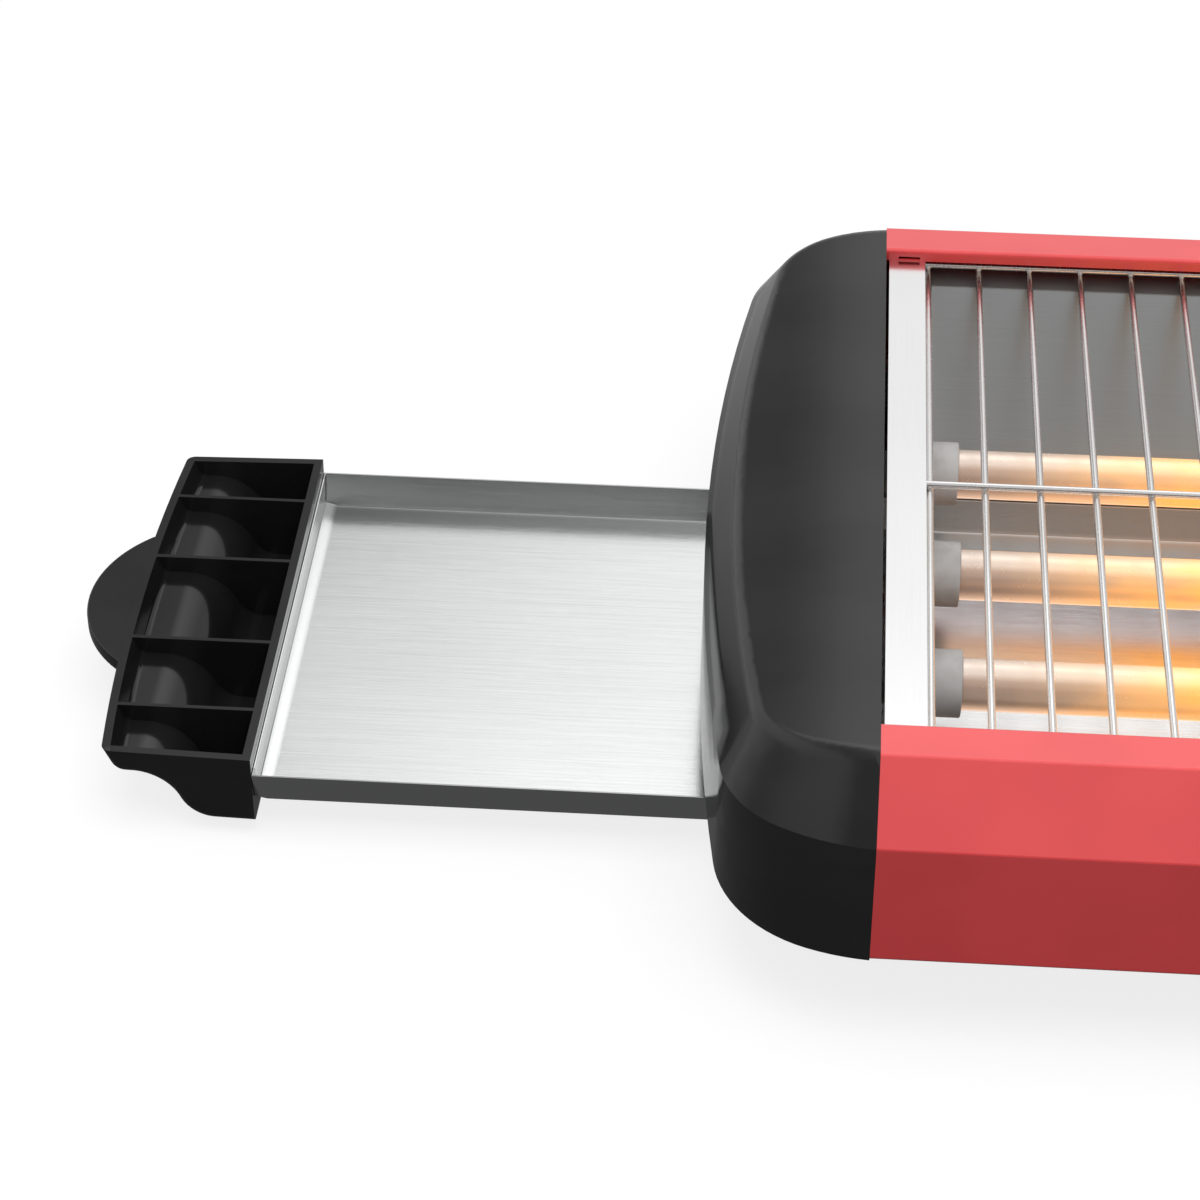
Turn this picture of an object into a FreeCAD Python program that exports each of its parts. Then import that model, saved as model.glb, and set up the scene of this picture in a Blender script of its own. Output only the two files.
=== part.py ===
import FreeCAD, Part
import math
import os
import re
import Sketcher
from FreeCAD import Vector

# Horizontal toaster: painted casing between two plastic end caps, wire rack over
# three quartz heating tubes, and a crumb tray that slides out below the left cap.
# Frame: X along the casing, Y from front to back, Z up from the table.
# Driving sizes, in millimetres unless the note says otherwise.
SIZES = (
    ("body_length", 271.5, "painted shells from seam to seam"),
    ("body_depth", 220.0, "casing from front to back"),
    ("top_height", 66.0, "painted top above the table"),
    ("chamfer_run", 11.4, "shoulder chamfer, across"),
    ("chamfer_drop", 14.5, "shoulder chamfer, down"),
    ("skirt_height", 29.0, "upright wall below the chamfer"),
    ("strip_width", 9.9, "flat strip along each side of the rack"),
    ("lip_drop", 3.0, "inner lip of the strip, down"),
    ("return_width", 12.0, "flange turned in below the skirt"),
    ("shell_sheet", 0.8, "painted steel"),
    ("crease_radius", 1.0, "outer bend of the painted steel"),
    ("slot_width", 5.0, "slot in the lip for the end plate's tab"),
    ("slot_inset", 3.0, "slot from the shell's end"),
    ("left_reach", 38.2, "left cap beyond the seam, at its foot"),
    ("right_reach", 62.0, "right cap beyond the seam, at its foot"),
    ("cap_lean", 0.3, "foot of the cap beyond its chamfer"),
    ("cap_chamfer_run", 9.0, "cap's end chamfer, across"),
    ("cap_wall", 2.2, "moulded wall"),
    ("side_radius", 580.0, "plan arc along the cap's end"),
    ("corner_radius", 24.0, "plan arc at the cap's corner, at its shoulder"),
    ("foot_corner_radius", 30.0, "the same corner at the cap's foot"),
    ("left_front_radius", 48.0, "plan arc that meets the seam, left cap"),
    ("right_front_radius", 80.0, "plan arc that meets the seam, right cap"),
    ("brow_corner_radius", 20.0, "the same corner where the chamfer meets the top"),
    ("left_brow_radius", 38.0, "front arc where the chamfer meets the top, left cap"),
    ("right_brow_radius", 72.0, "front arc where the chamfer meets the top, right cap"),
    ("front_arc_inset", 3.6, "centre of that arc inboard of the seam"),
    ("left_crown_radius", 116.0, "fall of the left cap's top"),
    ("right_crown_radius", 450.0, "fall of the right cap's top"),
    ("crown_edge_radius", 5.0, "rounding between the cap's top and chamfer"),
    ("boss_radius", 4.0, "screw bosses in the caps"),
    ("boss_margin", 26.0, "bosses from the casing's front and back"),
    ("boss_lift", 7.5, "bosses above the casing's bottom"),
    ("post_radius", 3.5, "upright posts in the caps"),
    ("post_margin", 16.0, "posts from the casing's front and back"),
    ("post_reach", 14.0, "posts beyond the seam"),
    ("pilot_radius", 1.3, "screw pilot holes in plastic"),
    ("cover_sheet", 1.6, "bottom covers of the caps"),
    ("fit_gap", 0.2, "gap between fixed pieces"),
    ("plate_sheet", 0.6, "stainless end plates"),
    ("plate_inset", 9.3, "inner face of the end plate from the seam"),
    ("plate_gap", 0.8, "end plate's edge from the cap"),
    ("plate_margin", 14.0, "end plate's top corners from the casing's front and back"),
    ("bulkhead_margin", 4.0, "end plate's lower corners from the casing's front and back"),
    ("foot_flange", 8.0, "end plate's foot, along the casing"),
    ("foot_margin", 3.4, "end plate's foot from the pan's channel"),
    ("ledge_drop", 8.6, "reflector ledge below the painted top"),
    ("ledge_margin", 13.0, "ledge's outer edge from the casing's front and back"),
    ("ledge_overhang", 1.5, "ledge's inner edge beyond the painted lip"),
    ("slope_margin", 2.4, "foot of the reflector's slope from the pan's channel"),
    ("slope_flange", 10.0, "reflector's flange on the pan"),
    ("reflector_sheet", 0.5, "bright reflector steel"),
    ("pan_sheet", 0.8, "base pan steel"),
    ("channel_gap", 1.9, "base pan's channel wider than the tray, each side"),
    ("pan_margin", 5.0, "base pan's flange from the casing's front and back"),
    ("pan_clearance", 0.3, "below the crumb tray"),
    ("wire_diameter", 1.6, "rack wire"),
    ("weld_sink", 0.2, "welded wires sink into each other"),
    ("rack_drop", 5.2, "axis of the long rack wires below the painted top"),
    ("rack_overlap", 2.3, "outer long wires behind the painted lip"),
    ("tip_overhang", 2.0, "turned-down wire ends beyond the outer long wires"),
    ("rack_margin", 0.1, "rack from the end plates"),
    ("wire_count", 22, "cross wires in the rack, a count"),
    ("tube_diameter", 11.2, "quartz tube"),
    ("tube_wall", 1.0, "quartz wall"),
    ("tube_spacing", 38.8, "between the tubes' axes"),
    ("tube_drop", 29.1, "tubes' axes below the painted top"),
    ("socket_depth", 6.0, "tube end inside its ceramic holder"),
    ("socket_gap", 0.1, "round the tube in its holder"),
    ("ceramic_diameter", 14.5, "ceramic holder"),
    ("ceramic_length", 8.7, "ceramic holder inside the chamber"),
    ("neck_diameter", 9.6, "ceramic holder through the end plate"),
    ("neck_length", 8.8, "ceramic neck"),
    ("coil_diameter", 6.5, "heating winding inside the tube"),
    ("coil_margin", 9.0, "cold end of the winding in the tube"),
    ("pin_diameter", 2.5, "terminal pin"),
    ("pin_length", 5.5, "pin beyond the ceramic neck"),
    ("pin_gap", 0.1, "round the pin"),
    ("bar_sheet", 0.8, "bus bars"),
    ("bar_half", 5.0, "bus bars, half width"),
    ("bar_bridge", 14.0, "outer bar's bridge above the tubes' axes"),
    ("nut_height", 2.4, "terminal nuts"),
    ("nut_flats", 5.5, "terminal nuts across the flats"),
    ("cutout_diameter", 12.0, "thermal cut-out"),
    ("cutout_depth", 7.5, "thermal cut-out from the end plate"),
    ("cutout_ear", 17.0, "thermal cut-out across its ears"),
    ("tray_out", 132.0, "tray's outer end beyond the left seam, as drawn out"),
    ("tray_length", 274.4, "crumb tray, along"),
    ("tray_overhang", 0.3, "crumb tray's rim beyond the handle, each side"),
    ("tray_flare", 2.4, "tray's long walls lean out"),
    ("ramp_run", 2.9, "sloped foot of the tray's end walls, along"),
    ("ramp_rise", 0.9, "sloped foot of the tray's end walls, up"),
    ("tray_rim_drop", 48.8, "tray's rim below the painted top"),
    ("tray_depth", 8.2, "tray from rim to underside"),
    ("tray_sheet", 0.5, "tray steel"),
    ("tab_width", 12.0, "tray's fixing tabs"),
    ("tab_place", 26.0, "fixing tabs from the middle plane"),
    ("tab_drop", 2.2, "fixing tabs below the tray's rim"),
    ("tab_hook", 4.0, "bent end of the fixing tabs"),
    ("tab_gap", 0.2, "round the tabs in the handle"),
    ("handle_width", 32.3, "handle from the tray to its outer corners"),
    ("handle_bow", 2.6, "handle's outer edge bows out"),
    ("handle_half", 56.4, "handle beside the tray, half length"),
    ("handle_taper", 1.1, "handle narrows to its outer corners, each end"),
    ("handle_rim_drop", 44.8, "handle's rim below the painted top"),
    ("handle_depth", 17.5, "handle's inner wall, rim to foot"),
    ("handle_waist", 6.0, "handle's thin outer part"),
    ("handle_toe", 8.7, "handle's deep part, from the tray"),
    ("handle_knee", 26.1, "handle's thin part starts, from the tray"),
    ("knee_radius", 10.7, "hollow bend of the handle's underside"),
    ("handle_lip", 2.7, "handle's outer edge leans in to its foot"),
    ("lip_radius", 3.4, "rounding of the handle's outer edge, below"),
    ("handle_corner", 2.0, "rounding of the handle's outer corners"),
    ("handle_wall", 1.9, "handle's moulded wall"),
    ("rib_sheet", 1.0, "handle's ribs"),
    ("rib_near", 15.2, "inner ribs from the middle plane"),
    ("rib_far", 39.1, "outer ribs from the middle plane"),
    ("pull_radius", 31.0, "rounded pull tab"),
    ("tab_reach", 10.7, "pull tab beyond the handle"),
    ("pull_sheet", 3.2, "pull tab's thickness"),
    ("pull_drop", 0.6, "pull tab below the handle's rim"),
    ("leg_radius", 8.0, "legs"),
    ("leg_inset", 14.0, "legs from the seams"),
    ("leg_margin", 9.4, "legs from the pan's channel"),
    ("pad_height", 3.5, "rubber pads"),
    ("pad_radius", 7.0, "rubber pads"),
    ("screw_radius", 1.5, "screw shanks"),
    ("screw_gap", 0.1, "round the screw shanks"),
    ("head_radius", 2.9, "screw heads"),
    ("head_height", 1.6, "screw heads"),
    ("shell_screws", 4, "screws below each painted shell, a count"),
    ("control_reach", 27.0, "knob axes beyond the right seam"),
    ("control_offset", 46.0, "knob axes from the middle plane"),
    ("recess_radius", 19.5, "round recess below each knob"),
    ("recess_drop", 4.0, "recess floor below the painted top"),
    ("recess_wall", 2.2, "wall round and below the recess"),
    ("dial_sheet", 0.8, "printed dial plates"),
    ("dial_gap", 0.4, "round the dial plates"),
    ("shaft_radius", 3.0, "control shafts"),
    ("shaft_flat", 2.2, "flat on the shafts from their axis"),
    ("shaft_gap", 0.05, "round the shafts in their bearings"),
    ("shaft_hole_gap", 0.6, "round the shafts in the cap"),
    ("shaft_depth", 7.5, "shaft inside its switch or timer"),
    ("knob_gap", 0.6, "below the knobs"),
    ("timer_knob_radius", 14.5, "timer knob"),
    ("timer_knob_height", 16.0, "timer knob"),
    ("selector_knob_radius", 12.5, "power knob"),
    ("selector_knob_height", 14.5, "power knob"),
    ("knob_draft", 1.2, "knob narrows to its top"),
    ("knob_edge", 1.2, "rounding of the knob's top"),
    ("knob_flutes", 18, "grip flutes, a count"),
    ("flute_radius", 1.6, "grip flutes"),
    ("flute_depth", 0.7, "grip flutes"),
    ("pointer_width", 1.4, "pointer groove"),
    ("pointer_depth", 0.6, "pointer groove"),
    ("hub_wall", 2.4, "knob's hub round the shaft"),
    ("knob_wall", 2.0, "knob's moulded wall"),
    ("timer_length", 34.0, "timer case along the casing"),
    ("timer_width", 34.0, "timer case across"),
    ("timer_height", 21.0, "timer case"),
    ("switch_length", 30.0, "power switch case along the casing"),
    ("switch_width", 26.0, "power switch case across"),
    ("switch_height", 19.0, "power switch case"),
    ("case_screw_offset", 9.5, "control screws from the knob axis"),
    ("blade_width", 4.8, "switch terminals"),
    ("blade_sheet", 0.8, "switch terminals"),
    ("blade_length", 6.5, "switch terminals"),
    ("lens_radius", 3.9, "pilot lens stem"),
    ("lens_flange", 5.2, "pilot lens flange"),
    ("lens_height", 2.2, "pilot lens above the cap"),
    ("lens_stem", 6.0, "pilot lens stem through the cap"),
    ("lamp_radius", 2.6, "pilot lamp"),
    ("lamp_length", 16.0, "pilot lamp"),
    ("block_length", 24.0, "terminal block"),
    ("block_width", 14.0, "terminal block"),
    ("block_height", 12.0, "terminal block"),
    ("block_place", 30.0, "terminal block beyond the right seam"),
    ("block_offset", 14.0, "terminal block from the middle plane"),
    ("inlet_place", 34.0, "cord inlet beyond the right seam"),
    ("inlet_margin", 42.0, "cord inlet from the casing's back"),
    ("inlet_bore", 3.6, "cord inlet, bore radius"),
    ("inlet_neck", 5.0, "cord inlet, neck radius"),
    ("inlet_flange", 7.5, "cord inlet, flange radius"),
    ("inlet_lip", 1.8, "cord inlet, flange thickness"),
)

DOC = FreeCAD.newDocument("horizontal_toaster")
SHEET = DOC.addObject("Spreadsheet::Sheet", "Sizes")
NODES = []

# Places worked out from the driving sizes, widths first
HALF = "body_depth / 2"
CREST = "(body_depth / 2 - chamfer_run)"
LIP = "(body_depth / 2 - chamfer_run - strip_width)"
BULKHEAD_SPREAD = "(body_depth / 2 - bulkhead_margin)"
PLATE_SPREAD = "(body_depth / 2 - plate_margin)"
PAN_SPREAD = "(body_depth / 2 - pan_margin)"
LEDGE_OUTER = "(body_depth / 2 - ledge_margin)"
BOSS_OFFSET = "(body_depth / 2 - boss_margin)"
POST_OFFSET = "(body_depth / 2 - post_margin)"
INLET_OFFSET = "(body_depth / 2 - inlet_margin)"
LEDGE_INNER = "(%s - ledge_overhang)" % LIP
RACK_SPREAD = "(%s + rack_overlap)" % LIP
RACK_TIP = "(%s + tip_overhang)" % RACK_SPREAD
TRAY_HALF = "(handle_half + tray_overhang)"
PAN_HALF = "(%s + channel_gap)" % TRAY_HALF
FOOT_INNER = "(%s + foot_margin)" % PAN_HALF
SLOPE_FOOT = "(%s + slope_margin)" % PAN_HALF
LEG_OFFSET = "(%s + leg_margin)" % PAN_HALF

# Heights above the table
SHOULDER = "(top_height - chamfer_drop)"
BOTTOM = "(%s - skirt_height)" % SHOULDER
BOSS_HEIGHT = "(%s + boss_lift)" % BOTTOM
LEG_TOP = "(%s + shell_sheet)" % BOTTOM
LEG_SEAT = "(%s / 2)" % LEG_TOP
PAN_TOP = "(%s + pan_sheet)" % LEG_TOP
COVER_TOP = "(%s + cover_sheet)" % PAN_TOP
TRAY_RIM = "(top_height - tray_rim_drop)"
TRAY_FOOT = "(%s - tray_depth)" % TRAY_RIM
PAN_FLOOR = "(%s - pan_clearance)" % TRAY_FOOT
TUBE_AXIS = "(top_height - tube_drop)"
HANDLE_RIM = "(top_height - handle_rim_drop)"
HANDLE_FOOT = "(%s - handle_depth)" % HANDLE_RIM
RECESS = "(top_height - recess_drop)"
CASE_TOP = "(%s - recess_wall)" % RECESS
CROWN_AT_LENS = ("(top_height - right_crown_radius"
                 " + sqrt(right_crown_radius * right_crown_radius - control_reach * control_reach))")

# Places along the casing
TUBE_START = "(plate_inset + ceramic_length - socket_depth)"
TRAY_REACH = "(tray_out + handle_width + handle_bow + tab_reach)"
HANDLE_TIP = "(handle_half - handle_taper)"
BOW_RADIUS = "((%s * %s + handle_bow * handle_bow) / (2 * handle_bow))" % (HANDLE_TIP, HANDLE_TIP)
BOW_CENTRE = "(%s - tray_out - handle_width - handle_bow)" % BOW_RADIUS
SEAM = "((%s - body_length - right_reach) / 2)" % TRAY_REACH
FAR_SEAM = "((%s + body_length - right_reach) / 2)" % TRAY_REACH


def fill_sheet():
    """Write each driving size as a plain number with its alias."""
    for row, (alias, value, note) in enumerate(SIZES, start=1):
        SHEET.set("A%d" % row, note)
        SHEET.set("B%d" % row, str(value))
        SHEET.setAlias("B%d" % row, alias)
    DOC.recompute()


def bind(text):
    """Turn the names in a formula into references to the sheet."""
    return re.sub(r"[a-z]+(?:_[a-z]+)+", lambda name: "Sizes." + name.group(0), str(text))


def size(text):
    """The present value of a formula, as a number."""
    value = SHEET.evalExpression(bind(text))
    return float(getattr(value, "Value", value))


# Placing and naming

def node(obj, label, end="left", x="0", y="0", z="0"):
    """Name a finished sub-part and place it from the seam at one end.

    The local X axis points into the casing from the left seam, or from the
    right one after half a turn about Z.
    """
    obj.Label = label
    turn = 0 if end == "left" else 180
    sign = "" if end == "left" else "-"
    seam = SEAM if end == "left" else FAR_SEAM
    obj.Placement = FreeCAD.Placement(Vector(), FreeCAD.Rotation(Vector(0, 0, 1), turn))
    obj.setExpression("Placement.Base.x", bind("%s + %s(%s)" % (seam, sign or "1 * ", x)))
    obj.setExpression("Placement.Base.y", bind("%s(%s)" % (sign or "1 * ", y)))
    obj.setExpression("Placement.Base.z", bind(z))
    NODES.append(obj)
    return obj


# Sketches

def new_body(name):
    body = DOC.addObject("PartDesign::Body", name)
    return body


def new_sketch(body, name, role, lift="0"):
    """A sketch on one of its own body's origin planes, lifted along the normal."""
    plane = next(item for item in body.Origin.OriginFeatures if item.Role == role)
    sketch = body.newObject("Sketcher::SketchObject", name)
    sketch.AttachmentSupport = (plane, "")
    sketch.MapMode = "FlatFace"
    sketch.setExpression(".AttachmentOffset.Base.z", bind(lift))
    return sketch


def hold(sketch, constraint, formula):
    """Add a dimension and bind it to a formula."""
    index = sketch.addConstraint(constraint)
    sketch.setExpression("Constraints[%d]" % index, bind(formula))


def hold_point(sketch, piece, end, x, y):
    hold(sketch, Sketcher.Constraint("DistanceX", piece, end, size(x)), x)
    hold(sketch, Sketcher.Constraint("DistanceY", piece, end, size(y)), y)


def chain(sketch, count):
    for piece in range(count):
        sketch.addConstraint(Sketcher.Constraint("Coincident", piece, 2, (piece + 1) % count, 1))


def polygon(body, name, role, corners, lift="0"):
    """A closed outline of straight lines through corners given as formulas."""
    sketch = new_sketch(body, name, role, lift)
    places = [Vector(size(x), size(y), 0) for x, y in corners]
    for here, there in zip(places, places[1:] + places[:1]):
        sketch.addGeometry(Part.LineSegment(here, there))
    chain(sketch, len(corners))
    for piece, (x, y) in enumerate(corners):
        hold_point(sketch, piece, 1, x, y)
    return sketch


def rectangle(body, name, role, low, high, lift="0"):
    corners = [low, (high[0], low[1]), high, (low[0], high[1])]
    return polygon(body, name, role, corners, lift)


def circles(body, name, role, centres, radius, lift="0"):
    sketch = new_sketch(body, name, role, lift)
    for piece, (x, y) in enumerate(centres):
        sketch.addGeometry(Part.Circle(Vector(size(x), size(y), 0), Vector(0, 0, 1), size(radius)))
        hold_point(sketch, piece, 3, x, y)
        hold(sketch, Sketcher.Constraint("Radius", piece, size(radius)), radius)
    return sketch


def offset_corners(places, distance):
    """The corners of a line moved to its left by a distance."""
    moved = []
    normals = []
    for here, there in zip(places, places[1:]):
        along = (there - here).normalize()
        normals.append(Vector(-along.y, along.x, 0))
    for index, place in enumerate(places):
        before = normals[max(index - 1, 0)]
        after = normals[min(index, len(normals) - 1)]
        reach = distance / (1 + before.dot(after))
        moved.append(place + (before + after) * reach)
    return moved


def sheet_profile(body, name, role, corners, sheet, lift="0"):
    """The section of a bent sheet: a line of corners and its parallel to the left."""
    sketch = new_sketch(body, name, role, lift)
    outer = [Vector(size(x), size(y), 0) for x, y in corners]
    inner = offset_corners(outer, size(sheet))
    ring = outer + inner[::-1]
    bends = len(corners) - 1
    for here, there in zip(ring, ring[1:] + ring[:1]):
        sketch.addGeometry(Part.LineSegment(here, there))
    chain(sketch, len(ring))
    for piece, (x, y) in enumerate(corners[:-1]):
        hold_point(sketch, piece, 1, x, y)
    hold_point(sketch, bends - 1, 2, *corners[-1])
    for piece in range(bends):
        partner = 2 * bends - piece
        sketch.addConstraint(Sketcher.Constraint("Parallel", piece, partner))
        hold(sketch, Sketcher.Constraint("Distance", partner, 1, piece, size(sheet)), sheet)
    sketch.addConstraint(Sketcher.Constraint("Perpendicular", bends - 1, bends))
    sketch.addConstraint(Sketcher.Constraint("Perpendicular", 0, 2 * bends + 1))
    return sketch


# Features

def pad(body, sketch, length, symmetric=False, backwards=False):
    feature = body.newObject("PartDesign::Pad", "Pad")
    feature.Profile = sketch
    feature.setExpression("Length", bind(length))
    feature.Midplane = symmetric
    feature.Reversed = backwards
    return feature


def pocket(body, sketch, length, symmetric=False, backwards=False):
    """Cut a sketch out of its body, and make sure that it removes something."""
    DOC.recompute()
    before = body.Shape.Volume
    feature = body.newObject("PartDesign::Pocket", "Pocket")
    feature.Profile = sketch
    feature.setExpression("Length", bind(length))
    feature.Midplane = symmetric
    feature.Reversed = backwards
    DOC.recompute()
    if body.Shape.Volume >= before:
        raise ValueError("%s: the pocket of %s cuts nothing" % (body.Name, sketch.Label))
    return feature


def revolution(body, sketch, axis):
    feature = body.newObject("PartDesign::Revolution", "Revolution")
    feature.Profile = sketch
    feature.ReferenceAxis = (sketch, [axis])
    feature.Angle = 360
    return feature


def groove(body, sketch, axis):
    """Turn a sketch about an axis and cut it out of its body."""
    feature = body.newObject("PartDesign::Groove", "Groove")
    feature.Profile = sketch
    feature.ReferenceAxis = (sketch, [axis])
    feature.Angle = 360
    return feature


def fillet(body, base, edges, radius):
    """Round the edges of a feature that a test picks out."""
    DOC.recompute()
    names = ["Edge%d" % (n + 1) for n, edge in enumerate(base.Shape.Edges) if edges(edge)]
    if not names:
        raise ValueError("%s: no edge to round" % body.Name)
    feature = body.newObject("PartDesign::Fillet", "Fillet")
    feature.Base = (base, names)
    feature.setExpression("Radius", bind(radius))
    return feature


def along(edge, direction):
    """True for a straight edge along a direction."""
    if not isinstance(edge.Curve, Part.Line):
        return False
    return abs(edge.Curve.Direction.dot(direction)) > 0.999


def primitive(kind, name, centre, **sizes):
    """A Part primitive with its sizes and its place bound to the sheet."""
    obj = DOC.addObject("Part::" + kind, name)
    for key, formula in sizes.items():
        obj.setExpression(key, bind(formula))
    for letter, formula in zip("xyz", centre):
        obj.setExpression("Placement.Base." + letter, bind(formula))
    return obj


def cut(name, base, tool):
    obj = DOC.addObject("Part::Cut", name)
    obj.Base = base
    obj.Tool = tool
    return obj


def common(name, base, tool):
    obj = DOC.addObject("Part::Common", name)
    obj.Base = base
    obj.Tool = tool
    return obj


def fuse(name, pieces):
    obj = DOC.addObject("Part::MultiFuse", name)
    obj.Shapes = pieces
    return obj


def rod_along_x(name, start, radius, length):
    """A cylinder that runs along X from its start."""
    rod = primitive("Cylinder", name, start, Radius=radius, Height=length)
    rod.Placement.Rotation = FreeCAD.Rotation(Vector(0, 1, 0), 90)
    return rod


# Painted casing

def build_shell(label, end):
    """One bent sheet: lip, top strip, chamfer, skirt and a flange turned in."""
    body = new_body(label)
    corners = [
        ("-%s" % LIP, "top_height - lip_drop"),
        ("-%s" % LIP, "top_height"),
        ("-%s" % CREST, "top_height"),
        ("-" + HALF, SHOULDER),
        ("-" + HALF, BOTTOM),
        ("-(body_depth / 2 - return_width)", BOTTOM),
    ]
    section = sheet_profile(body, "Section", "YZ_Plane", corners, "shell_sheet")
    skin = pad(body, section, "body_length")
    bends = [(size(y), size(z)) for y, z in corners[1:-1]]

    def is_bend(edge):
        middle = edge.CenterOfMass
        return along(edge, Vector(1, 0, 0)) and any(
            math.hypot(middle.y - y, middle.z - z) < 0.05 for y, z in bends)

    fillet(body, skin, is_bend, "crease_radius")
    slots = polygon(body, "LipSlot", "XZ_Plane", slot_corners("slot_inset"), LIP)
    pocket(body, slots, "2 * shell_sheet", symmetric=True)
    far = polygon(body, "FarLipSlot", "XZ_Plane",
                  slot_corners("body_length - slot_inset - slot_width"), LIP)
    pocket(body, far, "2 * shell_sheet", symmetric=True)
    holes = circles(body, "ScrewHoles", "XY_Plane", shell_screw_places(), "screw_radius + screw_gap")
    pocket(body, holes, "2 * (%s + shell_sheet)" % BOTTOM, symmetric=True)
    return node(body, label, end)


def slot_corners(start):
    """The slot in a shell's lip that the end plate's tab passes through."""
    low = "top_height - lip_drop + plate_sheet / 2"
    high = "%s + plate_sheet + fit_gap" % low
    finish = "%s + slot_width" % start
    return [(start, low), (finish, low), (finish, high), (start, high)]


def shell_screw_places():
    """Screws in a row along the flange, the end ones inset by as much as the legs."""
    count = int(size("shell_screws"))
    row = "-(body_depth / 2 - return_width / 2 - 1.5 * shell_sheet)"
    places = []
    for step in range(count):
        places.append(("leg_inset + %d * (body_length - 2 * leg_inset) / (shell_screws - 1)" % step, row))
    return places


# End caps

def cap_outline(body, name, height, reach, half_depth, corner_radius, front_radius, inset):
    """A cap's plan at one height: the seam line and five arcs in tangent to each other."""
    sketch = new_sketch(body, name, "XY_Plane", height)
    far = size("%s - %s" % (reach, inset))
    half = size("%s - %s" % (half_depth, inset))
    side = size("side_radius - %s" % inset)
    corner = size("%s - %s" % (corner_radius, inset))
    front = size("%s - %s" % (front_radius, inset))
    inboard = size("front_arc_inset")
    front_centre = Vector(inboard, half - math.sqrt(front ** 2 - inboard ** 2), 0)
    side_centre = Vector(side - far, 0, 0)
    corner_centre = tangent_centre(front_centre, front - corner, side_centre, side - corner)
    flip = lambda place: Vector(place.x, -place.y, 0)
    seam = Vector(0, half, 0)
    first = front_centre + (corner_centre - front_centre).normalize() * front
    second = side_centre + (corner_centre - side_centre).normalize() * side
    runs = [
        (front_centre, front, seam, first),
        (corner_centre, corner, first, second),
        (side_centre, side, second, flip(second)),
        (flip(corner_centre), corner, flip(second), flip(first)),
        (flip(front_centre), front, flip(first), flip(seam)),
    ]
    for centre, radius, start, finish in runs:
        sketch.addGeometry(arc(centre, radius, start, finish))
    sketch.addGeometry(Part.LineSegment(flip(seam), seam))
    for piece in range(4):
        sketch.addConstraint(Sketcher.Constraint("Tangent", piece, 2, piece + 1, 1))
    sketch.addConstraint(Sketcher.Constraint("Coincident", 4, 2, 5, 1))
    sketch.addConstraint(Sketcher.Constraint("Coincident", 5, 2, 0, 1))
    radii = [front_radius, corner_radius, "side_radius", corner_radius, front_radius]
    for piece, radius in enumerate(radii):
        formula = "%s - %s" % (radius, inset)
        hold(sketch, Sketcher.Constraint("Radius", piece, size(formula)), formula)
    hold_point(sketch, 2, 3, "side_radius - %s" % reach, "0")
    hold_point(sketch, 5, 1, "0", "-(%s - %s)" % (half_depth, inset))
    hold_point(sketch, 5, 2, "0", "%s - %s" % (half_depth, inset))
    for piece in (0, 4):
        hold(sketch, Sketcher.Constraint("DistanceX", piece, 3, inboard), "front_arc_inset")
    return sketch


def tangent_centre(first, first_reach, second, second_reach):
    """Where two circles meet, on the side away from the middle plane."""
    gap = second - first
    span = gap.Length
    share = (span ** 2 + first_reach ** 2 - second_reach ** 2) / (2 * span)
    height = math.sqrt(first_reach ** 2 - share ** 2)
    along_gap = gap / span
    across = Vector(-along_gap.y, along_gap.x, 0)
    sides = [first + along_gap * share + across * way for way in (height, -height)]
    return max(sides, key=lambda place: place.y)


def arc(centre, radius, start, finish):
    """An arc from start to finish, anticlockwise about its centre."""
    begin = math.atan2(start.y - centre.y, start.x - centre.x)
    end = math.atan2(finish.y - centre.y, finish.x - centre.x)
    if end < begin:
        end += 2 * math.pi
    return Part.ArcOfCircle(Part.Circle(centre, Vector(0, 0, 1), radius), begin, end)


def cap_block(name, side, inset):
    """A cap's outer block, or with an inset the hollow inside it."""
    body = new_body(name)
    reach = side + "_reach"
    front = side + "_front_radius"
    crown = "(%s_crown_radius - %s)" % (side, inset)
    foot = cap_outline(body, "Foot", BOTTOM, reach, HALF, "foot_corner_radius", front, inset)
    waist = cap_outline(body, "Waist", SHOULDER, "(%s - cap_lean)" % reach, HALF,
                        "corner_radius", front, inset)
    brow = cap_outline(body, "Brow", "top_height", "(%s - cap_lean - cap_chamfer_run)" % reach,
                       CREST, "brow_corner_radius", side + "_brow_radius", inset)
    loft = body.newObject("PartDesign::AdditiveLoft", "Loft")
    loft.Profile = foot
    loft.Sections = [waist, brow]
    loft.Ruled = True
    above = crown_cutter(body, crown, reach, inset)
    trimmed = pocket(body, above, "2 * body_depth", symmetric=True)
    return body, trimmed


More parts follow.
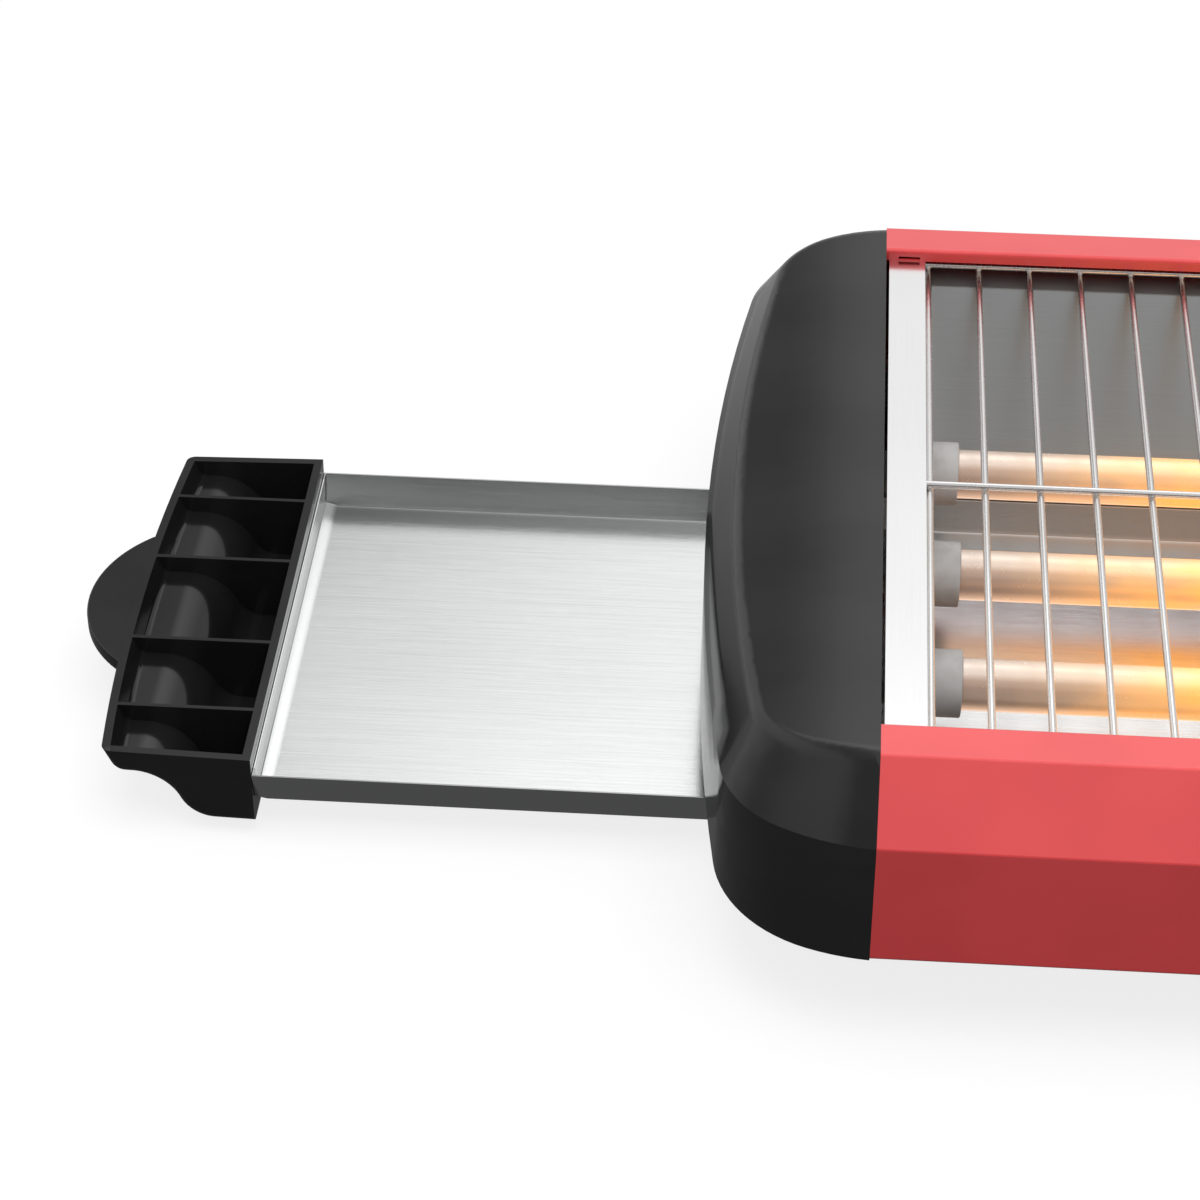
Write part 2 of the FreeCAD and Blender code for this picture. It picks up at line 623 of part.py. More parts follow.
def crown_cutter(body, crown, reach, inset):
    """The space above a cap's top, which falls away from the seam as an arc."""
    sketch = new_sketch(body, "Above", "XZ_Plane")
    apex = "(top_height - %s)" % inset
    radius = size(crown)
    far = size(reach)
    centre = Vector(0, size(apex) - radius, 0)
    start = Vector(0, size(apex), 0)
    finish = Vector(-far, centre.y + math.sqrt(radius ** 2 - far ** 2), 0)
    lid = size("top_height + crown_edge_radius")
    sketch.addGeometry(arc(centre, radius, start, finish))
    sketch.addGeometry(Part.LineSegment(finish, Vector(-far, lid, 0)))
    sketch.addGeometry(Part.LineSegment(Vector(-far, lid, 0), Vector(0, lid, 0)))
    sketch.addGeometry(Part.LineSegment(Vector(0, lid, 0), start))
    chain(sketch, 4)
    hold(sketch, Sketcher.Constraint("Radius", 0, radius), crown)
    hold_point(sketch, 0, 1, "0", apex)
    hold(sketch, Sketcher.Constraint("DistanceX", 0, 3, 0), "0")
    hold(sketch, Sketcher.Constraint("DistanceX", 0, 2, -far), "-" + reach)
    hold_point(sketch, 2, 1, "-" + reach, "top_height + crown_edge_radius")
    hold_point(sketch, 3, 1, "0", "top_height + crown_edge_radius")
    return sketch


def round_crown(body, trimmed, side):
    """Round the edge between a cap's top and its chamfer."""
    radius = size(side + "_crown_radius")
    centre = size("top_height") - radius

    def on_crown(edge):
        first, last = edge.ParameterRange
        places = [edge.valueAt(first + share * (last - first)) for share in (0.02, 0.5, 0.98)]
        curved = all(abs(math.hypot(p.x, p.z - centre) - radius) < 0.01 for p in places)
        return curved and min(p.x for p in places) < -0.5

    fillet(body, trimmed, on_crown, "crown_edge_radius")


def cap_bosses(side):
    """Screw bosses along X and upright posts, long enough to reach every wall."""
    reach = side + "_reach"
    pieces = []
    for way in ("-", ""):
        y = way + BOSS_OFFSET
        pieces.append(rod_along_x("Boss", ("-" + reach, y, BOSS_HEIGHT), "boss_radius", reach))
        y = way + POST_OFFSET
        pieces.append(primitive("Cylinder", "Post", ("-post_reach", y, COVER_TOP),
                                Radius="post_radius", Height="top_height - %s" % COVER_TOP))
    return fuse("Bosses", pieces)


def build_cap(label, side):
    """A moulded cap: shell, bosses that reach the end plate, pilot holes."""
    block, trimmed = cap_block(label + "_block", side, "0")
    round_crown(block, trimmed, side)
    hollow, _ = cap_block(label + "_hollow", side, "cap_wall")
    space = cut(label + "_space", hollow, cap_bosses(side))
    shell = cut(label + "_shell", block, space)
    inset = "(plate_inset - plate_sheet)"
    stubs = []
    drills = []
    for way in ("-", ""):
        y = way + BOSS_OFFSET
        stubs.append(rod_along_x("Stub", ("-cap_wall", y, BOSS_HEIGHT), "boss_radius",
                                 "%s + cap_wall" % inset))
        drills.append(rod_along_x("Pilot", ("-cap_wall - boss_radius", y, BOSS_HEIGHT), "pilot_radius",
                                  "%s + cap_wall + boss_radius" % inset))
        y = way + POST_OFFSET
        drills.append(primitive("Cylinder", "Pilot", ("-post_reach", y, COVER_TOP),
                                Radius="pilot_radius", Height="2 * post_radius"))
    pieces = [shell] + stubs
    if side == "right":
        pieces += recess_cups()
        drills += control_drills()
    solid = fuse(label + "_solid", pieces)
    return node(cut(label, solid, fuse(label + "_drills", drills)), label, side)


def control_places():
    """Knob axes: the timer's at the front, the power knob's at the back."""
    return (("timer", "control_offset"), ("selector", "-control_offset"))


def recess_cups():
    cups = []
    for name, y in control_places():
        cups.append(primitive("Cylinder", name + "_cup", ("-control_reach", y, CASE_TOP),
                              Radius="recess_radius + recess_wall", Height="2 * recess_wall"))
    return cups


def control_drills():
    """Recesses, shaft holes and screw holes for the knobs, and the lens hole."""
    drills = []
    below = "%s - 2 * recess_wall" % RECESS
    for name, y in control_places():
        drills.append(primitive("Cylinder", name + "_recess", ("-control_reach", y, RECESS),
                                Radius="recess_radius", Height="2 * recess_drop"))
        drills.append(primitive("Cylinder", name + "_hole", ("-control_reach", y, below),
                                Radius="shaft_radius + shaft_hole_gap", Height="3 * recess_wall"))
        for way in ("-", "+"):
            x = "-control_reach %s case_screw_offset" % way
            drills.append(primitive("Cylinder", name + "_screw", (x, y, below),
                                    Radius="screw_radius + screw_gap", Height="3 * recess_wall"))
            drills.append(primitive("Cylinder", name + "_sink", (x, y, "%s - head_height" % RECESS),
                                    Radius="head_radius + screw_gap", Height="2 * head_height"))
    drills.append(primitive("Cylinder", "lens_hole", ("-control_reach", "0", "top_height - 4 * cap_wall"),
                            Radius="lens_radius + fit_gap", Height="5 * cap_wall"))
    return drills


def build_bottom_cover(label, side):
    """The plate that closes a cap from below, above the crumb tray's path."""
    body = new_body(label)
    outline = cap_outline(body, "Plan", PAN_TOP, side + "_reach", HALF, "foot_corner_radius",
                          side + "_front_radius", "(cap_wall + fit_gap)")
    plate = pad(body, outline, "cover_sheet")
    edge = rectangle(body, "SeamGap", "XY_Plane", ("-fit_gap", "-body_depth"),
                     ("1 * fit_gap", "1 * body_depth"), PAN_TOP)
    pocket(body, edge, "cover_sheet", backwards=True)
    holes = [("-post_reach", "-" + POST_OFFSET), ("-post_reach", POST_OFFSET)]
    screws = circles(body, "ScrewHoles", "XY_Plane", holes, "screw_radius + screw_gap", PAN_TOP)
    pocket(body, screws, "cover_sheet", backwards=True)
    if side == "right":
        inlet = circles(body, "InletHole", "XY_Plane", [("-inlet_place", "-" + INLET_OFFSET)],
                        "inlet_neck + fit_gap", PAN_TOP)
        pocket(body, inlet, "cover_sheet", backwards=True)
    return node(body, label, side)


# Heating chamber

def build_end_plate(label, end):
    """Stainless plate: a bulkhead for the tubes, a top flange and two feet."""
    body = new_body(label)
    top = "(top_height - lip_drop)"
    corners = [
        ("-" + BULKHEAD_SPREAD, PAN_TOP), (BULKHEAD_SPREAD, PAN_TOP), (BULKHEAD_SPREAD, SHOULDER),
        (PLATE_SPREAD, top), ("-" + PLATE_SPREAD, top), ("-" + BULKHEAD_SPREAD, SHOULDER),
    ]
    wall = polygon(body, "Bulkhead", "YZ_Plane", corners, "plate_inset - plate_sheet")
    pad(body, wall, "plate_sheet")
    flange = rectangle(body, "TopFlange", "XY_Plane", ("plate_gap", "-" + PLATE_SPREAD),
                       ("plate_inset", PLATE_SPREAD), "%s - plate_sheet" % top)
    pad(body, flange, "plate_sheet")
    for way in ("-", ""):
        foot = rectangle(body, "Foot", "XY_Plane", ("plate_inset - foot_flange", way + FOOT_INNER),
                         ("plate_inset", way + PAN_SPREAD), PAN_TOP)
        pad(body, foot, "plate_sheet")
    tubes = [("%d * tube_spacing" % step, TUBE_AXIS) for step in (-1, 0, 1)]
    holes = circles(body, "TubeHoles", "YZ_Plane", tubes, "neck_diameter / 2 + fit_gap", "plate_inset")
    pocket(body, holes, "2 * plate_sheet", symmetric=True)
    bosses = [("-" + BOSS_OFFSET, BOSS_HEIGHT), (BOSS_OFFSET, BOSS_HEIGHT)]
    screws = circles(body, "ScrewHoles", "YZ_Plane", bosses, "screw_radius + screw_gap", "plate_inset")
    pocket(body, screws, "2 * plate_sheet", symmetric=True)
    return node(body, label, end)


def build_reflector(label, end):
    """Bright bent sheet: ledge under the rack, slope to the tray, flange on the pan."""
    body = new_body(label)
    ledge = "(top_height - ledge_drop)"
    corners = [
        ("-" + LEDGE_OUTER, ledge), ("-" + LEDGE_INNER, ledge),
        ("-" + SLOPE_FOOT, "%s + reflector_sheet" % PAN_TOP),
        ("-%s - slope_flange" % SLOPE_FOOT, "%s + reflector_sheet" % PAN_TOP),
    ]
    section = sheet_profile(body, "Section", "YZ_Plane", corners[::-1], "reflector_sheet",
                            "plate_inset + fit_gap")
    pad(body, section, "body_length - 2 * (plate_inset + fit_gap)")
    places = [place for place in leg_places() if place[1].startswith("-")]
    holes = circles(body, "LegScrewHoles", "XY_Plane", places, "pilot_radius", PAN_TOP)
    pocket(body, holes, "4 * reflector_sheet", symmetric=True)
    return node(body, label, end)


def build_base_pan():
    """The channel that the crumb tray slides in, with a flange for legs and shells."""
    body = new_body("base_pan")
    corners = [
        ("-" + PAN_SPREAD, PAN_TOP), ("-" + PAN_HALF, PAN_TOP), ("-" + PAN_HALF, PAN_FLOOR),
        (PAN_HALF, PAN_FLOOR), (PAN_HALF, PAN_TOP), (PAN_SPREAD, PAN_TOP),
    ]
    section = sheet_profile(body, "Section", "YZ_Plane", corners[::-1], "pan_sheet", "fit_gap")
    pad(body, section, "body_length - 2 * fit_gap")
    stop = rectangle(body, "EndStop", "YZ_Plane", ("-" + PAN_HALF, "%s - pan_sheet" % PAN_FLOOR),
                     (PAN_HALF, PAN_TOP), "body_length - fit_gap - pan_sheet")
    pad(body, stop, "pan_sheet")
    row = shell_screw_places()
    other = [(x, y.replace("-(", "(", 1)) for x, y in row]
    holes = circles(body, "ShellScrewHoles", "XY_Plane", row + other, "pilot_radius", PAN_TOP)
    pocket(body, holes, "4 * pan_sheet", symmetric=True)
    legs = circles(body, "LegScrewHoles", "XY_Plane", leg_places(), "screw_radius + screw_gap", PAN_TOP)
    pocket(body, legs, "4 * pan_sheet", symmetric=True)
    return node(body, "base_pan")


def build_wire_rack():
    """Chromed wires across the opening, welded below three long wires."""
    body = new_body("wire_rack")
    long_axis = "(top_height - rack_drop)"
    cross_axis = "(%s - wire_diameter + weld_sink)" % long_axis
    radius = "wire_diameter / 2"
    inside = "(body_length - 2 * plate_inset)"
    first = "(plate_inset + rack_margin + wire_diameter / 2)"
    start = "plate_inset + rack_margin"
    centre = circles(body, "MiddleWire", "YZ_Plane", [("0", long_axis)], radius, start)
    pad(body, centre, "%s - 2 * rack_margin" % inside)
    path = rack_path(body, first, cross_axis)
    tip = circles(body, "WireSection", "XY_Plane", [(first, "-" + RACK_TIP)], radius,
                  "top_height - ledge_drop")
    wire = body.newObject("PartDesign::AdditivePipe", "CrossWire")
    wire.Profile = tip
    wire.Spine = path
    row = body.newObject("PartDesign::LinearPattern", "CrossWires")
    row.Originals = [wire]
    row.Direction = (tip, ["H_Axis"])
    row.setExpression("Length", bind("%s - 2 * rack_margin - wire_diameter" % inside))
    row.setExpression("Occurrences", bind("wire_count"))
    body.Tip = row
    rails = [("-" + RACK_SPREAD, long_axis), (RACK_SPREAD, long_axis)]
    sides = circles(body, "SideWires", "YZ_Plane", rails, radius, start)
    pad(body, sides, "%s - 2 * rack_margin" % inside)
    return node(body, "wire_rack")


def rack_path(body, place, cross_axis):
    """A cross wire's centre line: up from the ledge, over the chamber, down again."""
    sketch = new_sketch(body, "WirePath", "YZ_Plane", place)
    tip = size(RACK_TIP)
    low = size("top_height - ledge_drop")
    high = size(cross_axis)
    bend = size("wire_diameter")
    places = [Vector(-tip, low, 0), Vector(-tip, high - bend, 0), Vector(bend - tip, high, 0),
              Vector(tip - bend, high, 0), Vector(tip, high - bend, 0), Vector(tip, low, 0)]
    left = Vector(bend - tip, high - bend, 0)
    right = Vector(tip - bend, high - bend, 0)
    sketch.addGeometry(Part.LineSegment(places[0], places[1]))
    sketch.addGeometry(arc(left, bend, places[2], places[1]))
    sketch.addGeometry(Part.LineSegment(places[2], places[3]))
    sketch.addGeometry(arc(right, bend, places[4], places[3]))
    sketch.addGeometry(Part.LineSegment(places[4], places[5]))
    for first, first_end, second, second_end in ((0, 2, 1, 2), (1, 1, 2, 1), (2, 2, 3, 2), (3, 1, 4, 1)):
        sketch.addConstraint(Sketcher.Constraint("Tangent", first, first_end, second, second_end))
    for piece in (1, 3):
        hold(sketch, Sketcher.Constraint("Radius", piece, bend), "wire_diameter")
    hold_point(sketch, 0, 1, "-" + RACK_TIP, "top_height - ledge_drop")
    hold_point(sketch, 4, 2, RACK_TIP, "top_height - ledge_drop")
    sketch.addConstraint(Sketcher.Constraint("Vertical", 0))
    sketch.addConstraint(Sketcher.Constraint("Horizontal", 2))
    sketch.addConstraint(Sketcher.Constraint("Vertical", 4))
    hold(sketch, Sketcher.Constraint("DistanceY", 2, 1, high), cross_axis)
    return sketch


# Heating tubes

def rows():
    """The three tubes, from front to back, with their offsets."""
    return (("front", "-tube_spacing"), ("middle", "0"), ("back", "1 * tube_spacing"))


def build_quartz_tube(name, y):
    body = new_body("quartz_tube_" + name)
    outside = "tube_diameter / 2"
    ring = circles(body, "Outside", "YZ_Plane", [("0", "0")], outside, TUBE_START)
    pad(body, ring, "body_length - 2 * %s" % TUBE_START)
    inside = "%s - tube_wall" % outside
    bore = circles(body, "Bore", "YZ_Plane", [("0", "0")], inside, "body_length / 2")
    pocket(body, bore, "body_length", symmetric=True)
    return node(body, "quartz_tube_" + name, y=y, z=TUBE_AXIS)


def build_heating_coil(name, y):
    """The winding's envelope with a straight terminal pin at each end."""
    body = new_body("heating_coil_" + name)
    start = "(%s + coil_margin)" % TUBE_START
    tip = "(plate_inset - neck_length - pin_length)"
    winding = circles(body, "Winding", "YZ_Plane", [("0", "0")], "coil_diameter / 2", start)
    pad(body, winding, "body_length - 2 * %s" % start)
    pin = circles(body, "Pins", "YZ_Plane", [("0", "0")], "pin_diameter / 2", tip)
    pad(body, pin, "body_length - 2 * %s" % tip)
    return node(body, "heating_coil_" + name, y=y, z=TUBE_AXIS)


def build_ceramic_holder(label, end, y):
    """Turned ceramic: a head in the chamber, a neck through the end plate."""
    body = new_body(label)
    inner = "(plate_inset + ceramic_length)"
    corners = [
        ("plate_inset - neck_length", "pin_diameter / 2 + pin_gap"),
        ("plate_inset - neck_length", "neck_diameter / 2"),
        ("plate_inset", "neck_diameter / 2"),
        ("plate_inset", "ceramic_diameter / 2"),
        (inner, "ceramic_diameter / 2"),
        (inner, "tube_diameter / 2 + socket_gap"),
        (TUBE_START, "tube_diameter / 2 + socket_gap"),
        (TUBE_START, "pin_diameter / 2 + pin_gap"),
    ]
    revolution(body, polygon(body, "Section", "XZ_Plane", corners), "H_Axis")
    return node(body, label, end, y=y, z=TUBE_AXIS)


def bar_face():
    """Where the bus bars lie: against the ends of the ceramic necks."""
    return "plate_inset - neck_length - bar_sheet"


def pin_holes(body, steps):
    places = [("%d * tube_spacing" % step, TUBE_AXIS) for step in steps]
    holes = circles(body, "PinHoles", "YZ_Plane", places, "pin_diameter / 2 + pin_gap", bar_face())
    pocket(body, holes, "4 * bar_sheet", symmetric=True)


def build_left_bus_bar():
    """One strip joins the left ends of all three tubes."""
    body = new_body("left_bus_bar")
    low = ("-tube_spacing - bar_half", "%s - bar_half" % TUBE_AXIS)
    high = ("tube_spacing + bar_half", "%s + bar_half" % TUBE_AXIS)
    strip = rectangle(body, "Strip", "YZ_Plane", low, high, bar_face())
    pad(body, strip, "bar_sheet")
    pin_holes(body, (-1, 0, 1))
    return node(body, "left_bus_bar")


def build_outer_bus_bar():
    """The right ends of the outer tubes, joined by a bridge over the middle one."""
    body = new_body("outer_bus_bar")
    low = "%s - bar_half" % TUBE_AXIS
    under = "%s + bar_bridge - bar_half" % TUBE_AXIS
    high = "%s + bar_bridge + bar_half" % TUBE_AXIS
    far = "tube_spacing + bar_half"
    close = "tube_spacing - bar_half"
    corners = [("-(%s)" % far, low), ("-(%s)" % close, low), ("-(%s)" % close, under), (close, under),
               (close, low), (far, low), (far, high), ("-(%s)" % far, high)]
    pad(body, polygon(body, "Bridge", "YZ_Plane", corners, bar_face()), "bar_sheet")
    pin_holes(body, (-1, 1))
    return node(body, "outer_bus_bar", "right")


def build_middle_terminal():
    body = new_body("middle_terminal")
    low = "%s - bar_bridge + bar_half" % TUBE_AXIS
    high = "%s + bar_half" % TUBE_AXIS
    strip = rectangle(body, "Strip", "YZ_Plane", ("-bar_half", low), ("1 * bar_half", high), bar_face())
    pad(body, strip, "bar_sheet")
    pin_holes(body, (0,))
    return node(body, "middle_terminal", "right")


def build_thermal_cutout():
    """A disc thermostat on the right end plate, between two tubes."""
    body = new_body("thermal_cutout")
    place = ("tube_spacing / 2", TUBE_AXIS)
    start = "plate_inset - plate_sheet - cutout_depth"
    disc = circles(body, "Disc", "YZ_Plane", [place], "cutout_diameter / 2", start)
    pad(body, disc, "cutout_depth")
    low = ("tube_spacing / 2 - cutout_diameter / 4", "%s - cutout_ear / 2" % TUBE_AXIS)
    high = ("tube_spacing / 2 + cutout_diameter / 4", "%s + cutout_ear / 2" % TUBE_AXIS)
    ear = rectangle(body, "Ears", "YZ_Plane", low, high, "plate_inset - 2 * plate_sheet")
    pad(body, ear, "plate_sheet")
    return node(body, "thermal_cutout", "right")


# Crumb tray

def tray_section(body, name, end_inset, lean, height):
    """One level of the tray: its ends inset, and its long walls leaning in."""
    half = "(%s - %s)" % (TRAY_HALF, lean)
    return rectangle(body, name, "XY_Plane", ("-tray_out + %s" % end_inset, "-" + half),
                     ("tray_length - tray_out - %s" % end_inset, half), height)


def tray_block(body, feature, inset, floor):
    """The tray's outside, or with an inset the space inside it."""
    foot_height = "(%s + %s)" % (TRAY_FOOT, floor)
    share = "(1 - ramp_rise / (tray_depth - %s))" % floor
    foot = tray_section(body, feature + "Foot", "(%s + ramp_run)" % inset,
                        "(%s + tray_flare)" % inset, foot_height)
    ramp_top = tray_section(body, feature + "RampTop", inset, "(%s + tray_flare * %s)" % (inset, share),
                            "%s + ramp_rise" % foot_height)
    mouth = tray_section(body, feature + "Rim", inset, inset, TRAY_RIM)
    loft = body.newObject("PartDesign::" + feature, feature)
    loft.Profile = foot
    loft.Sections = [ramp_top, mouth]
    loft.Ruled = True
    return loft


def build_crumb_tray():
    """Folded steel tray with two tabs that hook into the handle."""
    body = new_body("crumb_tray")
    tray_block(body, "AdditiveLoft", "0", "0")
    tray_block(body, "SubtractiveLoft", "tray_sheet", "tray_sheet")
    high = "(%s - tab_drop)" % TRAY_RIM
    tip = "-tray_out - handle_wall - tab_gap - tray_sheet"
    for way in ("-", ""):
        low_y = "%s1 * tab_place - tab_width / 2" % way
        high_y = "%s1 * tab_place + tab_width / 2" % way
        tongue = rectangle(body, "Tongue", "XY_Plane", (tip, low_y),
                           ("-tray_out + tray_sheet", high_y), "%s - tray_sheet" % high)
        pad(body, tongue, "tray_sheet")
        hook = rectangle(body, "Hook", "XY_Plane", (tip, low_y), ("%s + tray_sheet" % tip, high_y),
                         "%s - tab_hook" % high)
        pad(body, hook, "tab_hook")
    return node(body, "crumb_tray")


def handle_side(body, inset):
    """The handle's side view: deep by the tray, thin at its edge, an S-shaped step between."""
    sketch = new_sketch(body, "Side", "XZ_Plane")
    right = "(-tray_out - %s)" % inset
    left = "(-tray_out - handle_width - 2 * handle_bow)"
    deep = "(%s + %s)" % (HANDLE_FOOT, inset)
    waist = "(%s - handle_waist + %s)" % (HANDLE_RIM, inset)
    knee = "(-tray_out - handle_knee)"
    toe = "(-tray_out - handle_toe)"
    hollow = "(knee_radius + %s)" % inset
    knee_centre = Vector(size(knee), size("%s - %s" % (waist, hollow)), 0)
    run = size("handle_knee - handle_toe")
    drop = size("handle_depth - handle_waist")
    both = (run ** 2 + drop ** 2) / (2 * drop)
    toe_centre = Vector(size(toe), size("%s - handle_waist" % HANDLE_RIM) - drop + both - size("knee_radius"), 0)
    step = knee_centre + (toe_centre - knee_centre).normalize() * size(hollow)
    toe_radius = (toe_centre - step).Length
    places = [Vector(size(right), size(HANDLE_RIM), 0), Vector(size(left), size(HANDLE_RIM), 0),
              Vector(size(left), size(waist), 0), Vector(size(knee), size(waist), 0), step,
              Vector(size(toe), size(deep), 0), Vector(size(right), size(deep), 0)]
    for piece in range(3):
        sketch.addGeometry(Part.LineSegment(places[piece], places[piece + 1]))
    sketch.addGeometry(arc(knee_centre, size(hollow), places[4], places[3]))
    sketch.addGeometry(arc(toe_centre, toe_radius, places[4], places[5]))
    sketch.addGeometry(Part.LineSegment(places[5], places[6]))
    sketch.addGeometry(Part.LineSegment(places[6], places[0]))
    for first, first_end, second, second_end in ((0, 2, 1, 1), (1, 2, 2, 1), (5, 2, 6, 1), (6, 2, 0, 1)):
        sketch.addConstraint(Sketcher.Constraint("Coincident", first, first_end, second, second_end))
    for first, first_end, second, second_end in ((2, 2, 3, 2), (3, 1, 4, 1), (4, 2, 5, 1)):
        sketch.addConstraint(Sketcher.Constraint("Tangent", first, first_end, second, second_end))
    hold_point(sketch, 0, 1, right, HANDLE_RIM)
    hold_point(sketch, 1, 1, left, HANDLE_RIM)
    hold_point(sketch, 2, 1, left, waist)
    hold_point(sketch, 2, 2, knee, waist)
    hold_point(sketch, 5, 1, toe, deep)
    hold_point(sketch, 6, 1, right, deep)
    hold(sketch, Sketcher.Constraint("Radius", 3, size(hollow)), hollow)
    return sketch


def handle_body(name, inset):
    """The handle's outer block, or with an inset the space inside it."""
    body = new_body(name)
    pad(body, handle_side(body, inset), "2 * (handle_half - %s)" % inset, symmetric=True)
    edge = "(%s - %s)" % (BOW_RADIUS, inset)
    lean = "handle_lip * handle_depth / handle_waist"
    corners = [("%s - %s" % (edge, lean), HANDLE_FOOT), ("%s + 3 * handle_bow" % edge, HANDLE_FOOT),
               ("%s + 3 * handle_bow" % edge, HANDLE_RIM), (edge, HANDLE_RIM)]
    outside = polygon(body, "BowedEdge", "XZ_Plane", corners)
    outside.setExpression(".AttachmentOffset.Base.x", bind(BOW_CENTRE))
    bowed = groove(body, outside, "V_Axis")
    for way, word in (("-", "Front"), ("1 * ", "Back")):
        half = "(handle_half - %s)" % inset
        corners = [("-tray_out", way + half), ("-tray_out - 2 * handle_width",
                   "%s(%s - 2 * handle_taper)" % (way, half)),
                   ("-tray_out - 2 * handle_width", "%s(handle_half + handle_taper)" % way)]
        bowed = pocket(body, polygon(body, word + "Taper", "XY_Plane", corners, HANDLE_RIM),
                       "2 * handle_depth", symmetric=True)
    waist = size("%s - handle_waist + %s" % (HANDLE_RIM, inset))

    def is_lower_lip(edge):
        return isinstance(edge.Curve, Part.Circle) and abs(edge.CenterOfMass.z - waist) < 0.001

    return body, fillet(body, bowed, is_lower_lip, "lip_radius - %s" % inset)


def round_corners(body, base):
    """Round the two outer corners of the handle."""
    tip = size(HANDLE_TIP)

    def is_corner(edge):
        return edge.BoundBox.ZLength > size("handle_waist / 3") and edge.BoundBox.XMax < size(
            "-tray_out - handle_knee") and abs(edge.CenterOfMass.y) > tip - 1

    fillet(body, base, is_corner, "handle_corner")


def build_tray_handle():
    """Moulded handle: open cells between ribs, a rounded pull tab, two slots."""
    hull, edged = handle_body("handle_outer", "0")
    round_corners(hull, edged)
    space, _ = handle_body("handle_inner", "handle_wall")
    ribs = []
    for place in ("-rib_far", "-rib_near", "1 * rib_near", "1 * rib_far"):
        corner = ("-tray_out - 2 * handle_width", "%s - rib_sheet / 2" % place, "0")
        ribs.append(primitive("Box", "Rib", corner, Length="2 * handle_width", Width="rib_sheet",
                              Height="top_height"))
    cells = cut("handle_cells", space, fuse("handle_ribs", ribs))
    shell = cut("handle_shell", hull, cells)
    solid = fuse("handle_solid", [shell, pull_tab(space)])
    return node(cut("tray_handle", solid, handle_slots()), "tray_handle")


def pull_tab(space):
    """The part of a round disc that stands out beyond the handle."""
    body = new_body("pull_tab")
    sketch = new_sketch(body, "Plan", "XY_Plane", "%s - pull_drop - pull_sheet" % HANDLE_RIM)
    radius = size("pull_radius")
    tip = size("-%s" % TRAY_REACH)
    root = "-tray_out - handle_width + handle_wall"
    chord = size(root)
    centre = Vector(tip + radius, 0, 0)
    half = math.sqrt(radius ** 2 - (centre.x - chord) ** 2)
    sketch.addGeometry(arc(centre, radius, Vector(chord, half, 0), Vector(chord, -half, 0)))
    sketch.addGeometry(Part.LineSegment(Vector(chord, -half, 0), Vector(chord, half, 0)))
    chain(sketch, 2)
    hold(sketch, Sketcher.Constraint("Radius", 0, radius), "pull_radius")
    hold_point(sketch, 0, 3, "pull_radius - %s" % TRAY_REACH, "0")
    hold(sketch, Sketcher.Constraint("DistanceX", 1, 1, chord), root)
    hold(sketch, Sketcher.Constraint("DistanceX", 1, 2, chord), root)
    disc = pad(body, sketch, "pull_sheet")
    fillet(body, disc, lambda edge: isinstance(edge.Curve, Part.Circle), "pull_sheet / 8")
    return cut("pull_outside", body, space)


def handle_slots():
    """Slots in the handle's inner wall for the tray's tabs."""
    slots = []
    for way in ("-", ""):
        y = "%s1 * tab_place - tab_width / 2 - tab_gap" % way
        z = "%s - tab_drop - tray_sheet - tab_gap" % TRAY_RIM
        slots.append(primitive("Box", "Slot", ("-tray_out - 1.5 * handle_wall", y, z),
                               Length="2 * handle_wall", Width="tab_width + 2 * tab_gap",
                               Height="tray_sheet + 2 * tab_gap"))
    return fuse("handle_slots", slots)


# Legs

def leg_places():
    places = []
    for x in ("leg_inset", "body_length - leg_inset"):
        for y in ("-" + LEG_OFFSET, LEG_OFFSET):
            places.append((x, y))
    return places


def build_leg(label, x, y):
    """A moulded leg below the pan's flange, bored for its screw."""
    body = new_body(label)
    post = circles(body, "Post", "XY_Plane", [("0", "0")], "leg_radius", "pad_height")
    pad(body, post, "%s - pad_height" % LEG_TOP)
    bore = circles(body, "Bore", "XY_Plane", [("0", "0")], "screw_radius + screw_gap", LEG_TOP)
    pocket(body, bore, "top_height")
    sink = circles(body, "Sink", "XY_Plane", [("0", "0")], "head_radius + screw_gap", "pad_height")
    pocket(body, sink, "%s - pad_height" % LEG_SEAT, backwards=True)
    return node(body, label, x=x, y=y)


def build_foot_pad(label, x, y):
    body = new_body(label)
    disc = circles(body, "Disc", "XY_Plane", [("0", "0")], "pad_radius")
    base = pad(body, disc, "pad_height")
    fillet(body, base, lambda edge: edge.CenterOfMass.z < 0.01 and isinstance(edge.Curve, Part.Circle),
           "pad_height / 6")
    return node(body, label, x=x, y=y)


# Controls on the right cap

